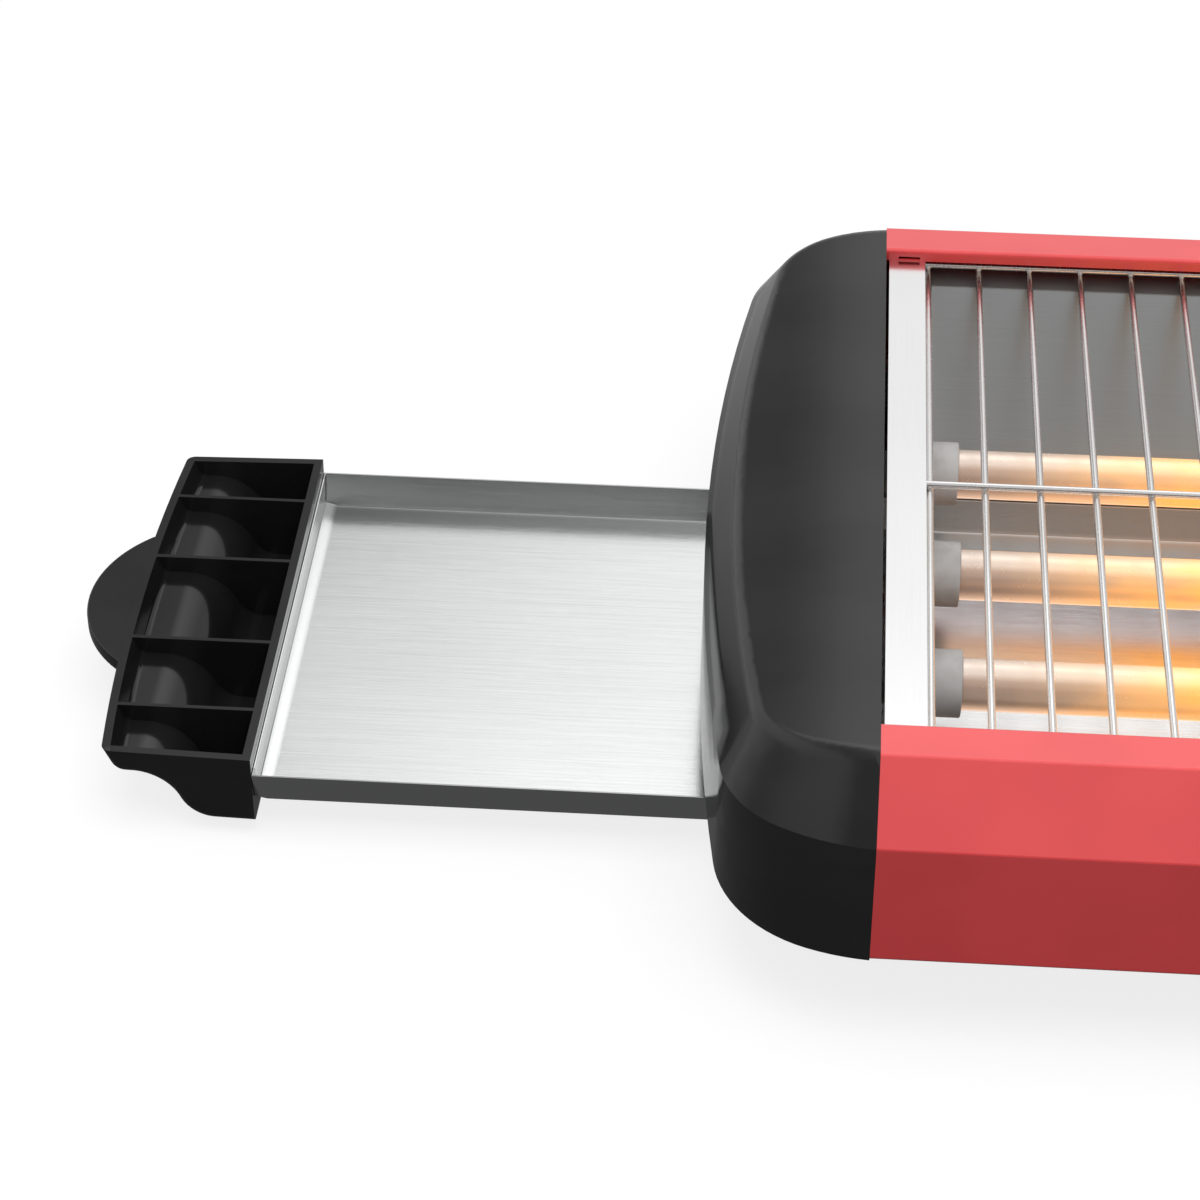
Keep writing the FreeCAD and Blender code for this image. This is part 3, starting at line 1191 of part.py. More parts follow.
def build_knob(label, name, y):
    """A hollow fluted knob with a hub for the shaft and a pointer groove."""
    body = new_body(label)
    radius = name + "_knob_radius"
    height = name + "_knob_height"
    foot = "(%s + dial_sheet + knob_gap)" % RECESS
    corners = [("0", foot), (radius, foot), ("%s - knob_draft" % radius, "%s + %s" % (foot, height)),
               ("0", "%s + %s" % (foot, height))]
    turned = revolution(body, polygon(body, "Section", "XZ_Plane", corners), "V_Axis")
    crown = size("%s + %s" % (foot, height))
    fillet(body, turned, lambda edge: isinstance(edge.Curve, Part.Circle)
           and abs(edge.CenterOfMass.z - crown) < 0.01, "knob_edge")
    flute = circles(body, "Flute", "XY_Plane", [("%s + flute_radius - flute_depth" % radius, "0")],
                    "flute_radius", foot)
    groove = pocket(body, flute, "%s - 2 * knob_edge" % height, backwards=True)
    ring = body.newObject("PartDesign::PolarPattern", "Flutes")
    ring.Originals = [groove]
    ring.Axis = (flute, ["N_Axis"])
    ring.Angle = 360
    ring.setExpression("Occurrences", bind("knob_flutes"))
    body.Tip = ring
    hub = "shaft_radius + hub_wall"
    well = new_sketch(body, "Well", "XY_Plane", foot)
    for piece, reach in enumerate(("%s - knob_draft - flute_depth - knob_wall" % radius, hub)):
        well.addGeometry(Part.Circle(Vector(), Vector(0, 0, 1), size(reach)))
        hold_point(well, piece, 3, "0", "0")
        hold(well, Sketcher.Constraint("Radius", piece, size(reach)), reach)
    depth = "%s - 2 * knob_wall" % height
    pocket(body, well, depth, backwards=True)
    pocket(body, shaft_section(body, "Bore", foot, "shaft_gap"), depth, backwards=True)
    line = rectangle(body, "Pointer", "XY_Plane", ("-pointer_width / 2", "hub_wall"),
                     ("pointer_width / 2", "%s" % radius), "%s + %s" % (foot, height))
    pocket(body, line, "pointer_depth")
    return node(body, label, "right", "-control_reach", y)


def shaft_section(body, name, lift, gap):
    """A round shaft's section with one flat."""
    sketch = new_sketch(body, name, "XY_Plane", lift)
    radius = size("shaft_radius + %s" % gap)
    flat = size("shaft_flat + %s" % gap)
    half = math.sqrt(radius ** 2 - flat ** 2)
    start = Vector(flat, half, 0)
    finish = Vector(flat, -half, 0)
    sketch.addGeometry(arc(Vector(), radius, start, finish))
    sketch.addGeometry(Part.LineSegment(finish, start))
    chain(sketch, 2)
    hold(sketch, Sketcher.Constraint("Radius", 0, radius), "shaft_radius + %s" % gap)
    hold_point(sketch, 0, 3, "0", "0")
    hold(sketch, Sketcher.Constraint("DistanceX", 1, 1, flat), "shaft_flat + %s" % gap)
    hold(sketch, Sketcher.Constraint("DistanceX", 1, 2, flat), "shaft_flat + %s" % gap)
    return sketch


def build_shaft(label, name, y):
    """A shaft from inside its case up into the knob, round below and flatted above."""
    body = new_body(label)
    low = "(%s - shaft_depth)" % CASE_TOP
    foot = "(%s + dial_sheet + knob_gap)" % RECESS
    tip = "(%s + %s_knob_height - 2 * knob_wall - fit_gap)" % (foot, name)
    stem = circles(body, "Stem", "XY_Plane", [("0", "0")], "shaft_radius", low)
    pad(body, stem, "%s - %s" % (foot, low))
    pad(body, shaft_section(body, "Flatted", foot, "0"), "%s - %s" % (tip, foot))
    return node(body, label, "right", "-control_reach", y)


def build_case(label, name, y):
    """The timer's or the switch's case, bored for its shaft and its screws."""
    body = new_body(label)
    low = "%s - %s_height" % (CASE_TOP, name)
    box = rectangle(body, "Box", "XY_Plane", ("-%s_length / 2" % name, "-%s_width / 2" % name),
                    ("%s_length / 2" % name, "%s_width / 2" % name), low)
    pad(body, box, "%s_height" % name)
    bearing = circles(body, "Bearing", "XY_Plane", [("0", "0")], "shaft_radius + shaft_gap", CASE_TOP)
    pocket(body, bearing, "shaft_depth + shaft_gap")
    holes = [("-case_screw_offset", "0"), ("1 * case_screw_offset", "0")]
    screws = circles(body, "ScrewHoles", "XY_Plane", holes, "screw_radius + screw_gap", CASE_TOP)
    pocket(body, screws, "3 * head_height")
    for step in (-1, 0, 1):
        x = "%d * 2 * blade_width" % step
        blade = rectangle(body, "Blade", "XY_Plane", ("%s - blade_width / 2" % x, "-blade_sheet / 2"),
                          ("%s + blade_width / 2" % x, "blade_sheet / 2"), "%s - blade_length" % low)
        pad(body, blade, "blade_length")
    return node(body, label, "right", "-control_reach", y)


def build_dial(label, y):
    """A printed plate on the recess floor, over the control screws."""
    body = new_body(label)
    disc = circles(body, "Disc", "XY_Plane", [("0", "0")], "recess_radius - dial_gap", RECESS)
    pad(body, disc, "dial_sheet")
    hole = circles(body, "Hole", "XY_Plane", [("0", "0")], "shaft_radius + shaft_hole_gap", RECESS)
    pocket(body, hole, "4 * dial_sheet", symmetric=True)
    return node(body, label, "right", "-control_reach", y)


def build_pilot_lens():
    """A domed lens with a hollow stem through the cap's top."""
    body = new_body("pilot_lens")
    seat = "(%s + 2 * fit_gap)" % CROWN_AT_LENS
    low = "%s - lens_stem" % seat
    corners = [
        ("lamp_radius + fit_gap", low), ("lens_radius", low), ("lens_radius", seat),
        ("lens_flange", seat), ("lens_flange", "%s + lens_height / 3" % seat),
        ("lens_radius", "%s + lens_height" % seat), ("0", "%s + lens_height" % seat), ("0", seat),
        ("lamp_radius + fit_gap", seat),
    ]
    revolution(body, polygon(body, "Section", "XZ_Plane", corners), "V_Axis")
    return node(body, "pilot_lens", "right", "-control_reach")


def build_pilot_lamp():
    body = new_body("pilot_lamp")
    top = "(%s)" % CROWN_AT_LENS
    bulb = circles(body, "Bulb", "XY_Plane", [("0", "0")], "lamp_radius", "%s - lamp_length" % top)
    pad(body, bulb, "lamp_length")
    return node(body, "pilot_lamp", "right", "-control_reach")


def build_terminal_block():
    """A three-way block on the right bottom cover."""
    body = new_body("terminal_block")
    box = rectangle(body, "Box", "XY_Plane", ("-block_length / 2", "-block_width / 2"),
                    ("block_length / 2", "block_width / 2"), COVER_TOP)
    pad(body, box, "block_height")
    ways = [("%d * block_length / 3" % step, "%s + block_height / 2" % COVER_TOP) for step in (-1, 0, 1)]
    holes = circles(body, "Ways", "XZ_Plane", ways, "pin_diameter / 2 + pin_gap")
    pocket(body, holes, "2 * block_width", symmetric=True)
    return node(body, "terminal_block", "right", "-block_place", "-block_offset")


def build_cord_inlet():
    """A flanged bush in the right bottom cover where a supply cord comes in."""
    body = new_body("cord_inlet")
    low = "(%s - inlet_lip)" % PAN_TOP
    high = "(%s + inlet_lip)" % COVER_TOP
    corners = [
        ("inlet_bore", low), ("inlet_flange", low), ("inlet_flange", PAN_TOP),
        ("inlet_neck", PAN_TOP), ("inlet_neck", COVER_TOP), ("inlet_flange", COVER_TOP),
        ("inlet_flange", high), ("inlet_bore", high),
    ]
    revolution(body, polygon(body, "Section", "XZ_Plane", corners), "V_Axis")
    return node(body, "cord_inlet", "right", "-inlet_place", "-" + INLET_OFFSET)


# Fasteners: each node is a group of separate solids

def screw(seat, direction, length):
    """A pan-head screw whose head sits on its seat and whose shank runs on."""
    way = Vector(*direction)
    shank = Part.makeCylinder(size("screw_radius"), length, seat, way)
    head = Part.makeCylinder(size("head_radius"), size("head_height"), seat, way * -1)
    return shank.fuse(head).removeSplitter()


def nut(seat, direction):
    """A hexagon nut round a terminal pin."""
    way = Vector(*direction)
    side = size("nut_flats") / math.sqrt(3)
    corners = []
    for step in range(7):
        angle = math.radians(60 * step)
        corners.append(seat + Vector(0, side * math.cos(angle), side * math.sin(angle)))
    prism = Part.Face(Part.makePolygon(corners)).extrude(way * size("nut_height"))
    bore = Part.makeCylinder(size("pin_diameter / 2 + pin_gap"), size("2 * nut_height"),
                             seat - way * size("nut_height / 2"), way)
    return prism.cut(bore)


def group(label, solids, end="left"):
    obj = DOC.addObject("Part::Feature", label)
    obj.Shape = Part.makeCompound(solids)
    return node(obj, label, end)


def build_cap_screws(label, end):
    """Two screws through an end plate into the cap's bosses."""
    solids = []
    for way in (-1, 1):
        seat = Vector(size("plate_inset"), way * size(BOSS_OFFSET), size(BOSS_HEIGHT))
        solids.append(screw(seat, (-1, 0, 0), size("plate_inset")))
    return group(label, solids, end)


def build_cover_screws(label, end):
    """Two screws through a bottom cover into the cap's posts."""
    solids = []
    for way in (-1, 1):
        seat = Vector(-size("post_reach"), way * size(POST_OFFSET), size(PAN_TOP))
        solids.append(screw(seat, (0, 0, 1), size("cover_sheet + 2 * post_radius - screw_gap")))
    return group(label, solids, end)


def build_shell_screws():
    """Screws up through the shells' flanges into the base pan."""
    solids = []
    for x, y in shell_screw_places():
        for way in (-1, 1):
            seat = Vector(size(x), way * abs(size(y)), size(BOTTOM))
            solids.append(screw(seat, (0, 0, 1), size("shell_sheet + pan_sheet + head_height")))
    return group("shell_screws", solids)


def build_leg_screws():
    solids = []
    for x, y in leg_places():
        seat = Vector(size(x), size(y), size(LEG_SEAT))
        solids.append(screw(seat, (0, 0, 1), size("%s - %s + head_height" % (PAN_TOP, LEG_SEAT))))
    return group("leg_screws", solids)


def build_control_screws():
    """Sunk screws through the recess floors into the timer and the switch."""
    solids = []
    for _, y in control_places():
        for way in (-1, 1):
            x = size("-control_reach + %d * case_screw_offset" % way)
            seat = Vector(x, size(y), size("%s - head_height" % RECESS))
            solids.append(screw(seat, (0, 0, -1), size("recess_wall + head_height")))
    return group("control_screws", solids, "right")


def build_terminal_nuts(label, end):
    solids = []
    for step in (-1, 0, 1):
        seat = Vector(size(bar_face()), step * size("tube_spacing"), size(TUBE_AXIS))
        solids.append(nut(seat, (-1, 0, 0)))
    return group(label, solids, end)


# The whole toaster

def build_all():
    build_shell("front_shell", "left")
    build_shell("back_shell", "right")
    for side in ("left", "right"):
        build_cap(side + "_end_cap", side)
        build_bottom_cover(side + "_bottom_cover", side)
        build_end_plate(side + "_end_plate", side)
        build_cap_screws(side + "_cap_screws", side)
        build_cover_screws(side + "_cover_screws", side)
        build_terminal_nuts(side + "_terminal_nuts", side)
    build_reflector("front_reflector", "left")
    build_reflector("back_reflector", "right")
    build_base_pan()
    build_wire_rack()
    for name, y in rows():
        build_quartz_tube(name, y)
        build_heating_coil(name, y)
        build_ceramic_holder("left_ceramic_" + name, "left", y)
        build_ceramic_holder("right_ceramic_" + name, "right", "-(%s)" % y)
    build_left_bus_bar()
    build_outer_bus_bar()
    build_middle_terminal()
    build_thermal_cutout()
    build_crumb_tray()
    build_tray_handle()
    names = ("left_front", "left_back", "right_front", "right_back")
    for name, (x, y) in zip(names, leg_places()):
        build_leg("leg_" + name, x, y)
        build_foot_pad("foot_pad_" + name, x, y)
    for name, y in control_places():
        build_knob(name + "_knob", name, y)
        build_shaft(name + "_shaft", name, y)
        build_dial(name + "_dial", y)
    build_case("timer_case", "timer", "control_offset")
    build_case("switch_case", "switch", "-control_offset")
    build_pilot_lens()
    build_pilot_lamp()
    build_terminal_block()
    build_cord_inlet()
    build_shell_screws()
    build_leg_screws()
    build_control_screws()


def check_document():
    """Stop if any object failed or any sub-part has no valid solid."""
    for obj in DOC.Objects:
        if "Invalid" in obj.State or "Error" in obj.State:
            raise RuntimeError("%s (%s) failed: %s" % (obj.Name, obj.Label, obj.State))
    for obj in NODES:
        if obj.Shape.isNull() or not obj.Shape.isValid() or not obj.Shape.Solids:
            raise RuntimeError("%s has no valid solid" % obj.Label)


def write_parts():
    os.makedirs("parts", exist_ok=True)
    for obj in NODES:
        obj.Shape.exportStep("parts/%s.step" % obj.Label)
    print("%d sub-parts written" % len(NODES))


fill_sheet()
build_all()
DOC.recompute()
check_document()
write_parts()
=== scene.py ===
import logging
import math
from dataclasses import dataclass, field
from enum import Enum
from typing import Any, Iterable, Mapping, Sequence

import bmesh
import bpy
from mathutils import Matrix, Vector


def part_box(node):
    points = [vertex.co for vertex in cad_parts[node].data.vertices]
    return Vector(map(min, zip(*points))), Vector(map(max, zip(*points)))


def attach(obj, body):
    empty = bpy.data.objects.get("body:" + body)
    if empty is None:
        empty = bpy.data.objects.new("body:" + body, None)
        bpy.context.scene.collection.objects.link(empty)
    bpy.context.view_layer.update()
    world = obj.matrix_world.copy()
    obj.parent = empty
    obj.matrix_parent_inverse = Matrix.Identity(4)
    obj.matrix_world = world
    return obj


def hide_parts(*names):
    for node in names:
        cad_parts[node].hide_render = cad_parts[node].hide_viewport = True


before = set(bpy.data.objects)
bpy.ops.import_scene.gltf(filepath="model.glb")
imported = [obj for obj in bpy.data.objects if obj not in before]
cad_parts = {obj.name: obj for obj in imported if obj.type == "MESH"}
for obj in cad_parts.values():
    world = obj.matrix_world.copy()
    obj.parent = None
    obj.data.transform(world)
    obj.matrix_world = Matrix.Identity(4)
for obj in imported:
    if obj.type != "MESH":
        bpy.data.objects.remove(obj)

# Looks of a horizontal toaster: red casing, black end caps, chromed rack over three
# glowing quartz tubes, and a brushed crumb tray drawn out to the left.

Material = bpy.types.Material
Node = bpy.types.Node
Piece = bpy.types.Object
Triple = tuple[float, float, float]

LOG = logging.getLogger("toaster")
MM = 0.001
BLACK: Triple = (0.0, 0.0, 0.0)
# A height or a width in millimetres that no sheet reaches
NOWHERE = 1000.0
# Corners nearer than this are one corner
MERGE = 2e-6
# Facets that turn by less than this are one face
FLAT = math.radians(0.2)
# Edges that turn by more than this are softened
EDGE = math.radians(32.0)
# Edges that turn by more than this many degrees stay sharp in the shading
CREASE = 50.0
# The same for flat prints and screws, and for the pointers' lines
FINE_CREASE = 30.0
LINE_CREASE = 40.0


class Body(Enum):
    """The rigid bodies that pieces ride on."""

    CASING = "casing"
    TRAY = "tray_unit"
    TIMER = "timer_control"
    SELECTOR = "selector_control"


class Grain(Enum):
    """The direction in which a steel sheet was brushed."""

    ALONG = (0.03, 7.0, 7.0)
    ACROSS = (7.0, 0.03, 7.0)


# Node trees


class Tree:
    """A node tree and the means to wire it.

    Args:
        tree: The tree.
        prefix: What the types of its own nodes begin with.
    """

    def __init__(self, tree: bpy.types.NodeTree, prefix: str) -> None:
        """Keep the tree and its prefix."""
        self.tree = tree
        self.prefix = prefix

    def feed(self, socket: bpy.types.NodeSocket, given: Any) -> None:
        """Link a socket or set its value.

        Args:
            socket: The socket.
            given: A plain value, a node or an output, or a list of them for a socket that joins.
        """
        if isinstance(given, list):
            for part in given:
                self.feed(socket, part)
            return
        if isinstance(given, Value):
            given = given.socket
        if isinstance(given, Node):
            given = given.outputs[0]
        if isinstance(given, bpy.types.NodeSocket):
            self.tree.links.new(given, socket)
        elif socket.type == "RGBA":
            socket.default_value = (*given[:3], 1.0)
        else:
            socket.default_value = given

    def node(self, kind: str, *first: Any, settings: Mapping[str, Any] | None = None,
             **named: Any) -> Node:
        """Make one node.

        Args:
            kind: The node's type, with or without the tree's prefix.
            *first: A value or a link for each of the first sockets.
            settings: The node's own options, set before its sockets.
            **named: A value or a link for each named socket, with underscores for spaces.

        Returns:
            The node.
        """
        made = self.tree.nodes.new(kind if "Node" in kind else self.prefix + kind)
        for key, setting in (settings or {}).items():
            setattr(made, key, setting)
        for index, given in enumerate(first):
            self.feed(made.inputs[index], given)
        for key, given in named.items():
            self.feed(made.inputs[key.replace("_", " ")], given)
        return made


class Value:
    """A shader socket that takes part in Python sums.

    Args:
        shader: The shader that the socket belongs to.
        socket: The output socket.
    """

    def __init__(self, shader: "Shader", socket: bpy.types.NodeSocket) -> None:
        """Keep the shader and its socket."""
        self.shader = shader
        self.socket = socket

    def __add__(self, other: "Value | float") -> "Value":
        """Sum of both."""
        return self.shader.maths("ADD", self, other)

    def __sub__(self, other: "Value | float") -> "Value":
        """This less the other."""
        return self.shader.maths("SUBTRACT", self, other)

    def __rsub__(self, other: float) -> "Value":
        """The other less this."""
        return self.shader.maths("SUBTRACT", other, self)

    def __mul__(self, other: "Value | float") -> "Value":
        """Product of both."""
        return self.shader.maths("MULTIPLY", self, other)

    __radd__ = __add__
    __rmul__ = __mul__

    def __abs__(self) -> "Value":
        """This without its sign."""
        return self.shader.maths("ABSOLUTE", self, 0.0)

    def clamped(self) -> "Value":
        """This, held between 0 and 1."""
        return self.shader.maths("MINIMUM", self.shader.maths("MAXIMUM", self, 0.0), 1.0)

    def ramp(self, low: float, high: float) -> "Value":
        """A smooth step from 0 at low to 1 at high."""
        return self.shader.value("MapRange", self, low, high, settings={"interpolation_type": "SMOOTHSTEP"})


class Shader(Tree):
    """The tree of a material or a world.

    Args:
        name: The material's name.
        world: The world to wire instead of a new material.
    """

    def __init__(self, name: str, world: bpy.types.World | None = None) -> None:
        """Empty the tree that is to be wired."""
        self.block = world or bpy.data.materials.new(name)
        self.block.use_nodes = True
        self.block.node_tree.nodes.clear()
        super().__init__(self.block.node_tree, "ShaderNode")

    def value(self, kind: str, *first: Any, output: int | str = 0, **named: Any) -> Value:
        """Make one node, as node does, and give the output with that name or number."""
        return Value(self, self.node(kind, *first, **named).outputs[output])

    def maths(self, operation: str, first: Any, second: Any) -> Value:
        """One step of arithmetic on numbers."""
        return self.value("Math", first, second, settings={"operation": operation})

    def place(self, repeats: float | Triple) -> Value:
        """The piece's own coordinates, scaled for a pattern.

        Args:
            repeats: Repeats of the pattern per millimetre, along each axis or along X, Y and Z.

        Returns:
            The coordinates.
        """
        if isinstance(repeats, float):
            repeats = (repeats, repeats, repeats)
        spot = self.value("TexCoord", output="Object")
        return self.value("Mapping", Vector=spot, Scale=tuple(part / MM for part in repeats))

    def axis(self, letter: str) -> Value:
        """One coordinate of the piece in millimetres: X, Y or Z."""
        return self.value("SeparateXYZ", self.place(1.0), output=letter)

    def noise(self, repeats: float | Triple, layers: float = 3.0, rough: float = 0.55) -> Value:
        """Noise about 0.5, with its repeats per millimetre and its finer layers and their strength."""
        return self.value("TexNoise", Vector=self.place(repeats), Scale=1.0, Detail=layers, Roughness=rough)

    def cells(self, repeats: float | Triple, output: str = "Distance") -> Value:
        """A cell pattern over the piece, with so many cells per millimetre."""
        return self.value("TexVoronoi", output=output, Vector=self.place(repeats), Scale=1.0)

    def blend(self, share: Any, first: Any, second: Any) -> Value:
        """A mix of two colours.

        Args:
            share: How much of the second.
            first: The first colour.
            second: The second colour.

        Returns:
            The mixed colour.
        """
        made = self.node("Mix", share, settings={"data_type": "RGBA"})
        self.feed(made.inputs[6], first)
        self.feed(made.inputs[7], second)
        return Value(self, made.outputs[2])

    def bump(self, height: Value, depth: float, strength: float) -> Value:
        """The normal of a relief so many millimetres deep, of which a share shows."""
        return self.value("Bump", Height=height, Distance=depth * MM, Strength=strength)

    def glow_length(self, centre: float, full: float, none: float) -> Value:
        """How much a winding glows along X: 1 up to full from its centre, 0 from none on."""
        return 1.0 - abs(self.axis("X") - centre).ramp(full, none)

    def finish(self, surface: Value) -> bpy.types.ID:
        """Wire the surface to the output.

        Args:
            surface: The shader.

        Returns:
            The material or the world.
        """
        kind = "World" if isinstance(self.block, bpy.types.World) else "Material"
        self.node("Output" + kind, Surface=surface)
        return self.block

    def surface(self, **inputs: Any) -> Material:
        """End the material with its main shader, given each socket by name."""
        return self.finish(self.value("BsdfPrincipled", **inputs))


# Finishes


def scaled(colour: Triple, share: float) -> Triple:
    """A colour made lighter or darker by a share."""
    return tuple(part * share for part in colour)


@dataclass(frozen=True)
class EnamelRed:
    """Semi-gloss red stove enamel with a faint orange peel."""

    name: str = "red_enamel"
    colour: Triple = (0.82, 0.053, 0.058)
    shade: Triple = (0.77, 0.045, 0.050)

    def make(self) -> Material:
        """Build the material."""
        shader = Shader(self.name)
        cloud = shader.noise(0.03, 2.0)
        fleck = shader.noise(5.0, 2.0)
        peel = shader.noise(0.55, 2.0, 0.4)
        return shader.surface(
            Base_Color=shader.blend(cloud.ramp(0.35, 0.65), self.colour, self.shade),
            Roughness=0.34 + cloud * 0.05 + fleck * 0.03,
            IOR=1.5,
            Specular_IOR_Level=0.8,
            Coat_Weight=1.0,
            Coat_Roughness=0.12,
            Normal=shader.bump(peel * 0.8 + fleck * 0.2, 0.035, 0.35),
        )


@dataclass(frozen=True)
class BlackMoulding:
    """Black thermoplastic with a fine eroded grain.

    Args:
        name: The material's name.
        shade: How light the black is.
        gloss: Its least roughness.
        grain: Depth of the grain in millimetres.
    """

    name: str = "cap_moulding"
    shade: float = 0.013
    gloss: float = 0.08
    grain: float = 0.002

    def make(self) -> Material:
        """Build the material."""
        shader = Shader(self.name)
        flow = shader.noise((0.02, 0.035, 0.05), 3.0)
        grain = shader.noise(6.0, 3.0, 0.6)
        pits = shader.cells(3.5)
        dark = scaled((0.8, 0.8, 0.82), self.shade)
        light = scaled((1.25, 1.25, 1.3), self.shade)
        return shader.surface(
            Base_Color=shader.blend(flow.ramp(0.3, 0.7), dark, light),
            Roughness=self.gloss + flow * 0.06 + grain * 0.05,
            IOR=1.5,
            Normal=shader.bump(grain * 0.7 + pits * 0.3, self.grain, 0.5),
        )


@dataclass(frozen=True)
class BrushedSheet:
    """Stainless sheet with long brush marks, whose folded walls can carry painted shade.

    Args:
        name: The material's name.
        colour: The metal's colour.
        grain: Direction of the brush marks.
        gloss: Least roughness.
        streak: How much the marks change the colour.
        relief: Depth of the marks in millimetres.
        walls: Half the flat floor's depth, beyond which the sheet is folded up and painted darker, as
            painted shade.
        ledge: Height above which the sheet is duller, as on the ledge below the rack's ends.
        folded: Brightness of the painted shade on the folded part.
    """

    name: str
    colour: Triple
    grain: Grain
    gloss: float
    streak: float
    relief: float = 0.010
    walls: float = NOWHERE
    ledge: float = NOWHERE
    folded: float = 0.58

    def make(self) -> Material:
        """Build the material."""
        shader = Shader(self.name)
        long_marks = shader.noise(self.grain.value, 4.0, 0.65)
        short_marks = shader.noise(scaled(self.grain.value, 2.6), 3.0, 0.6)
        cloud = shader.noise((0.012, 0.02, 0.02), 2.0)
        marks = long_marks * 0.6 + short_marks * 0.4
        tone = (marks * 0.8 + cloud * 0.2).ramp(0.3, 0.62)
        sheet = shader.blend(tone, scaled(self.colour, 1.0 - self.streak), self.colour)
        # Painted shade: the walls folded up from the floor are darker.
        painted_wall_shade = abs(shader.axis("Y")).ramp(self.walls, self.walls + 0.6)
        dull = shader.axis("Z").ramp(self.ledge, self.ledge + 0.2)
        return shader.surface(
            Base_Color=shader.blend(painted_wall_shade, sheet, scaled(self.colour, self.folded)),
            Metallic=1.0,
            Roughness=self.gloss + marks * 0.12 + cloud * 0.06 + dull * 0.4,
            Normal=shader.bump(marks, self.relief, 0.55),
        )


@dataclass(frozen=True)
class GlowingQuartz:
    """Milky quartz lit from inside by the winding, with a painted highlight along its top, painted light
    along its underside and a colour painted orange by the glow.
        centre: The tubes' middle along X in millimetres.
        full: Distance from the middle up to which the tube glows fully.
        none: Distance from the middle where the glow ends.
        height: The tubes' axes above the worktop in millimetres.
    """

    name: str = "glowing_quartz"
    centre: float = 57.8
    full: float = 56.0
    none: float = 122.0
    height: float = 36.9

    def make(self) -> Material:
        """Build the material."""
        shader = Shader(self.name)
        lit = shader.glow_length(self.centre, self.full, self.none)
        patches = shader.noise((0.045, 0.09, 0.09), 2.0).ramp(0.3, 0.7)
        rings = shader.noise((0.5, 0.02, 0.02), 2.0)
        haze = shader.noise(0.5, 3.0)
        heat = (lit * (0.55 + patches * 0.45)).clamped()
        # Painted light: the underside glows even where the tube is cold, standing in for the bright tray
        # mirrored there.
        painted_underside_glow = 1.0 - shader.axis("Z").ramp(self.height - 3.6, self.height + 0.2)
        # Painted highlight: the top of the tube is a lighter colour.
        painted_top_highlight = shader.axis("Z").ramp(self.height + 3.9, self.height + 5.4)
        # Painted glow: the base colour and the painted highlight turn orange where the tube is hot.
        body = shader.blend(heat * 0.8 + haze * 0.2, (0.62, 0.46, 0.39), (0.72, 0.44, 0.15))
        painted_highlight_colour = shader.blend(heat, (0.98, 0.84, 0.74), (1.0, 0.74, 0.36))
        glow = shader.blend(heat, (0.56, 0.36, 0.24), (1.0, 0.37, 0.04))
        level = (heat + painted_underside_glow * 0.92 + rings * 0.04).clamped()
        return shader.surface(
            Base_Color=shader.blend(painted_top_highlight, body, painted_highlight_colour),
            Metallic=0.35,
            Roughness=0.24 + haze * 0.05,
            IOR=1.46,
            Emission_Color=shader.blend(level, BLACK, glow),
            Emission_Strength=1.0,
            Normal=shader.bump(haze, 0.004, 0.1),
        )


@dataclass(frozen=True)
class HotWire:
    """Resistance wire that glows orange in the lit part of the tube.

    Args:
        name: The material's name.
        centre: The winding's middle along X in millimetres.
        full: Distance from the middle up to which it glows fully.
        none: Distance from the middle where the glow ends.
    """

    name: str = "hot_wire"
    centre: float = 57.8
    full: float = 100.0
    none: float = 114.0

    def make(self) -> Material:
        """Build the material."""
        shader = Shader(self.name)
        lit = shader.glow_length(self.centre, self.full, self.none)
        scale = shader.noise(1.2, 3.0)
        return shader.surface(
            Base_Color=shader.blend(scale, (0.20, 0.16, 0.14), (0.34, 0.27, 0.22)),
            Metallic=0.8,
            Roughness=0.45 + scale * 0.2,
            Emission_Color=shader.blend(lit * (0.7 + scale * 0.3), BLACK, (1.0, 0.36, 0.07)),
            Emission_Strength=1.4,
        )


@dataclass(frozen=True)
class FiredCeramic:
    """Matt steatite with faint specks."""

    name: str = "fired_ceramic"
    colour: Triple = (0.54, 0.535, 0.53)
    shade: Triple = (0.42, 0.41, 0.40)
    speck: Triple = (0.36, 0.33, 0.30)

    def make(self) -> Material:
        """Build the material."""
        shader = Shader(self.name)
        cloud = shader.noise(0.12, 3.0)
        specks = shader.cells(0.9).ramp(0.02, 0.12)
        body = shader.blend(cloud.ramp(0.3, 0.7), self.colour, self.shade)
        return shader.surface(
            Base_Color=shader.blend(specks, self.speck, body),
            Roughness=0.55 + cloud * 0.15,
            IOR=1.5,
            Normal=shader.bump(cloud * 0.5 + shader.noise(2.5) * 0.5, 0.03, 0.4),
        )


@dataclass(frozen=True)
class ZincSheet:
    """Galvanised sheet with pale crystals."""

    name: str = "zinc_sheet"
    light: Triple = (0.66, 0.68, 0.69)
    dark: Triple = (0.50, 0.52, 0.54)

    def make(self) -> Material:
        """Build the material."""
        shader = Shader(self.name)
        tone = shader.value("SeparateColor", shader.cells(0.16, "Color"))
        rub = shader.noise((0.05, 0.4, 0.4), 3.0)
        return shader.surface(
            Base_Color=shader.blend(tone * 0.7 + rub * 0.3, self.dark, self.light),
            Metallic=1.0,
            Roughness=0.34 + tone * 0.14,
            Normal=shader.bump(tone, 0.004, 0.3),
        )


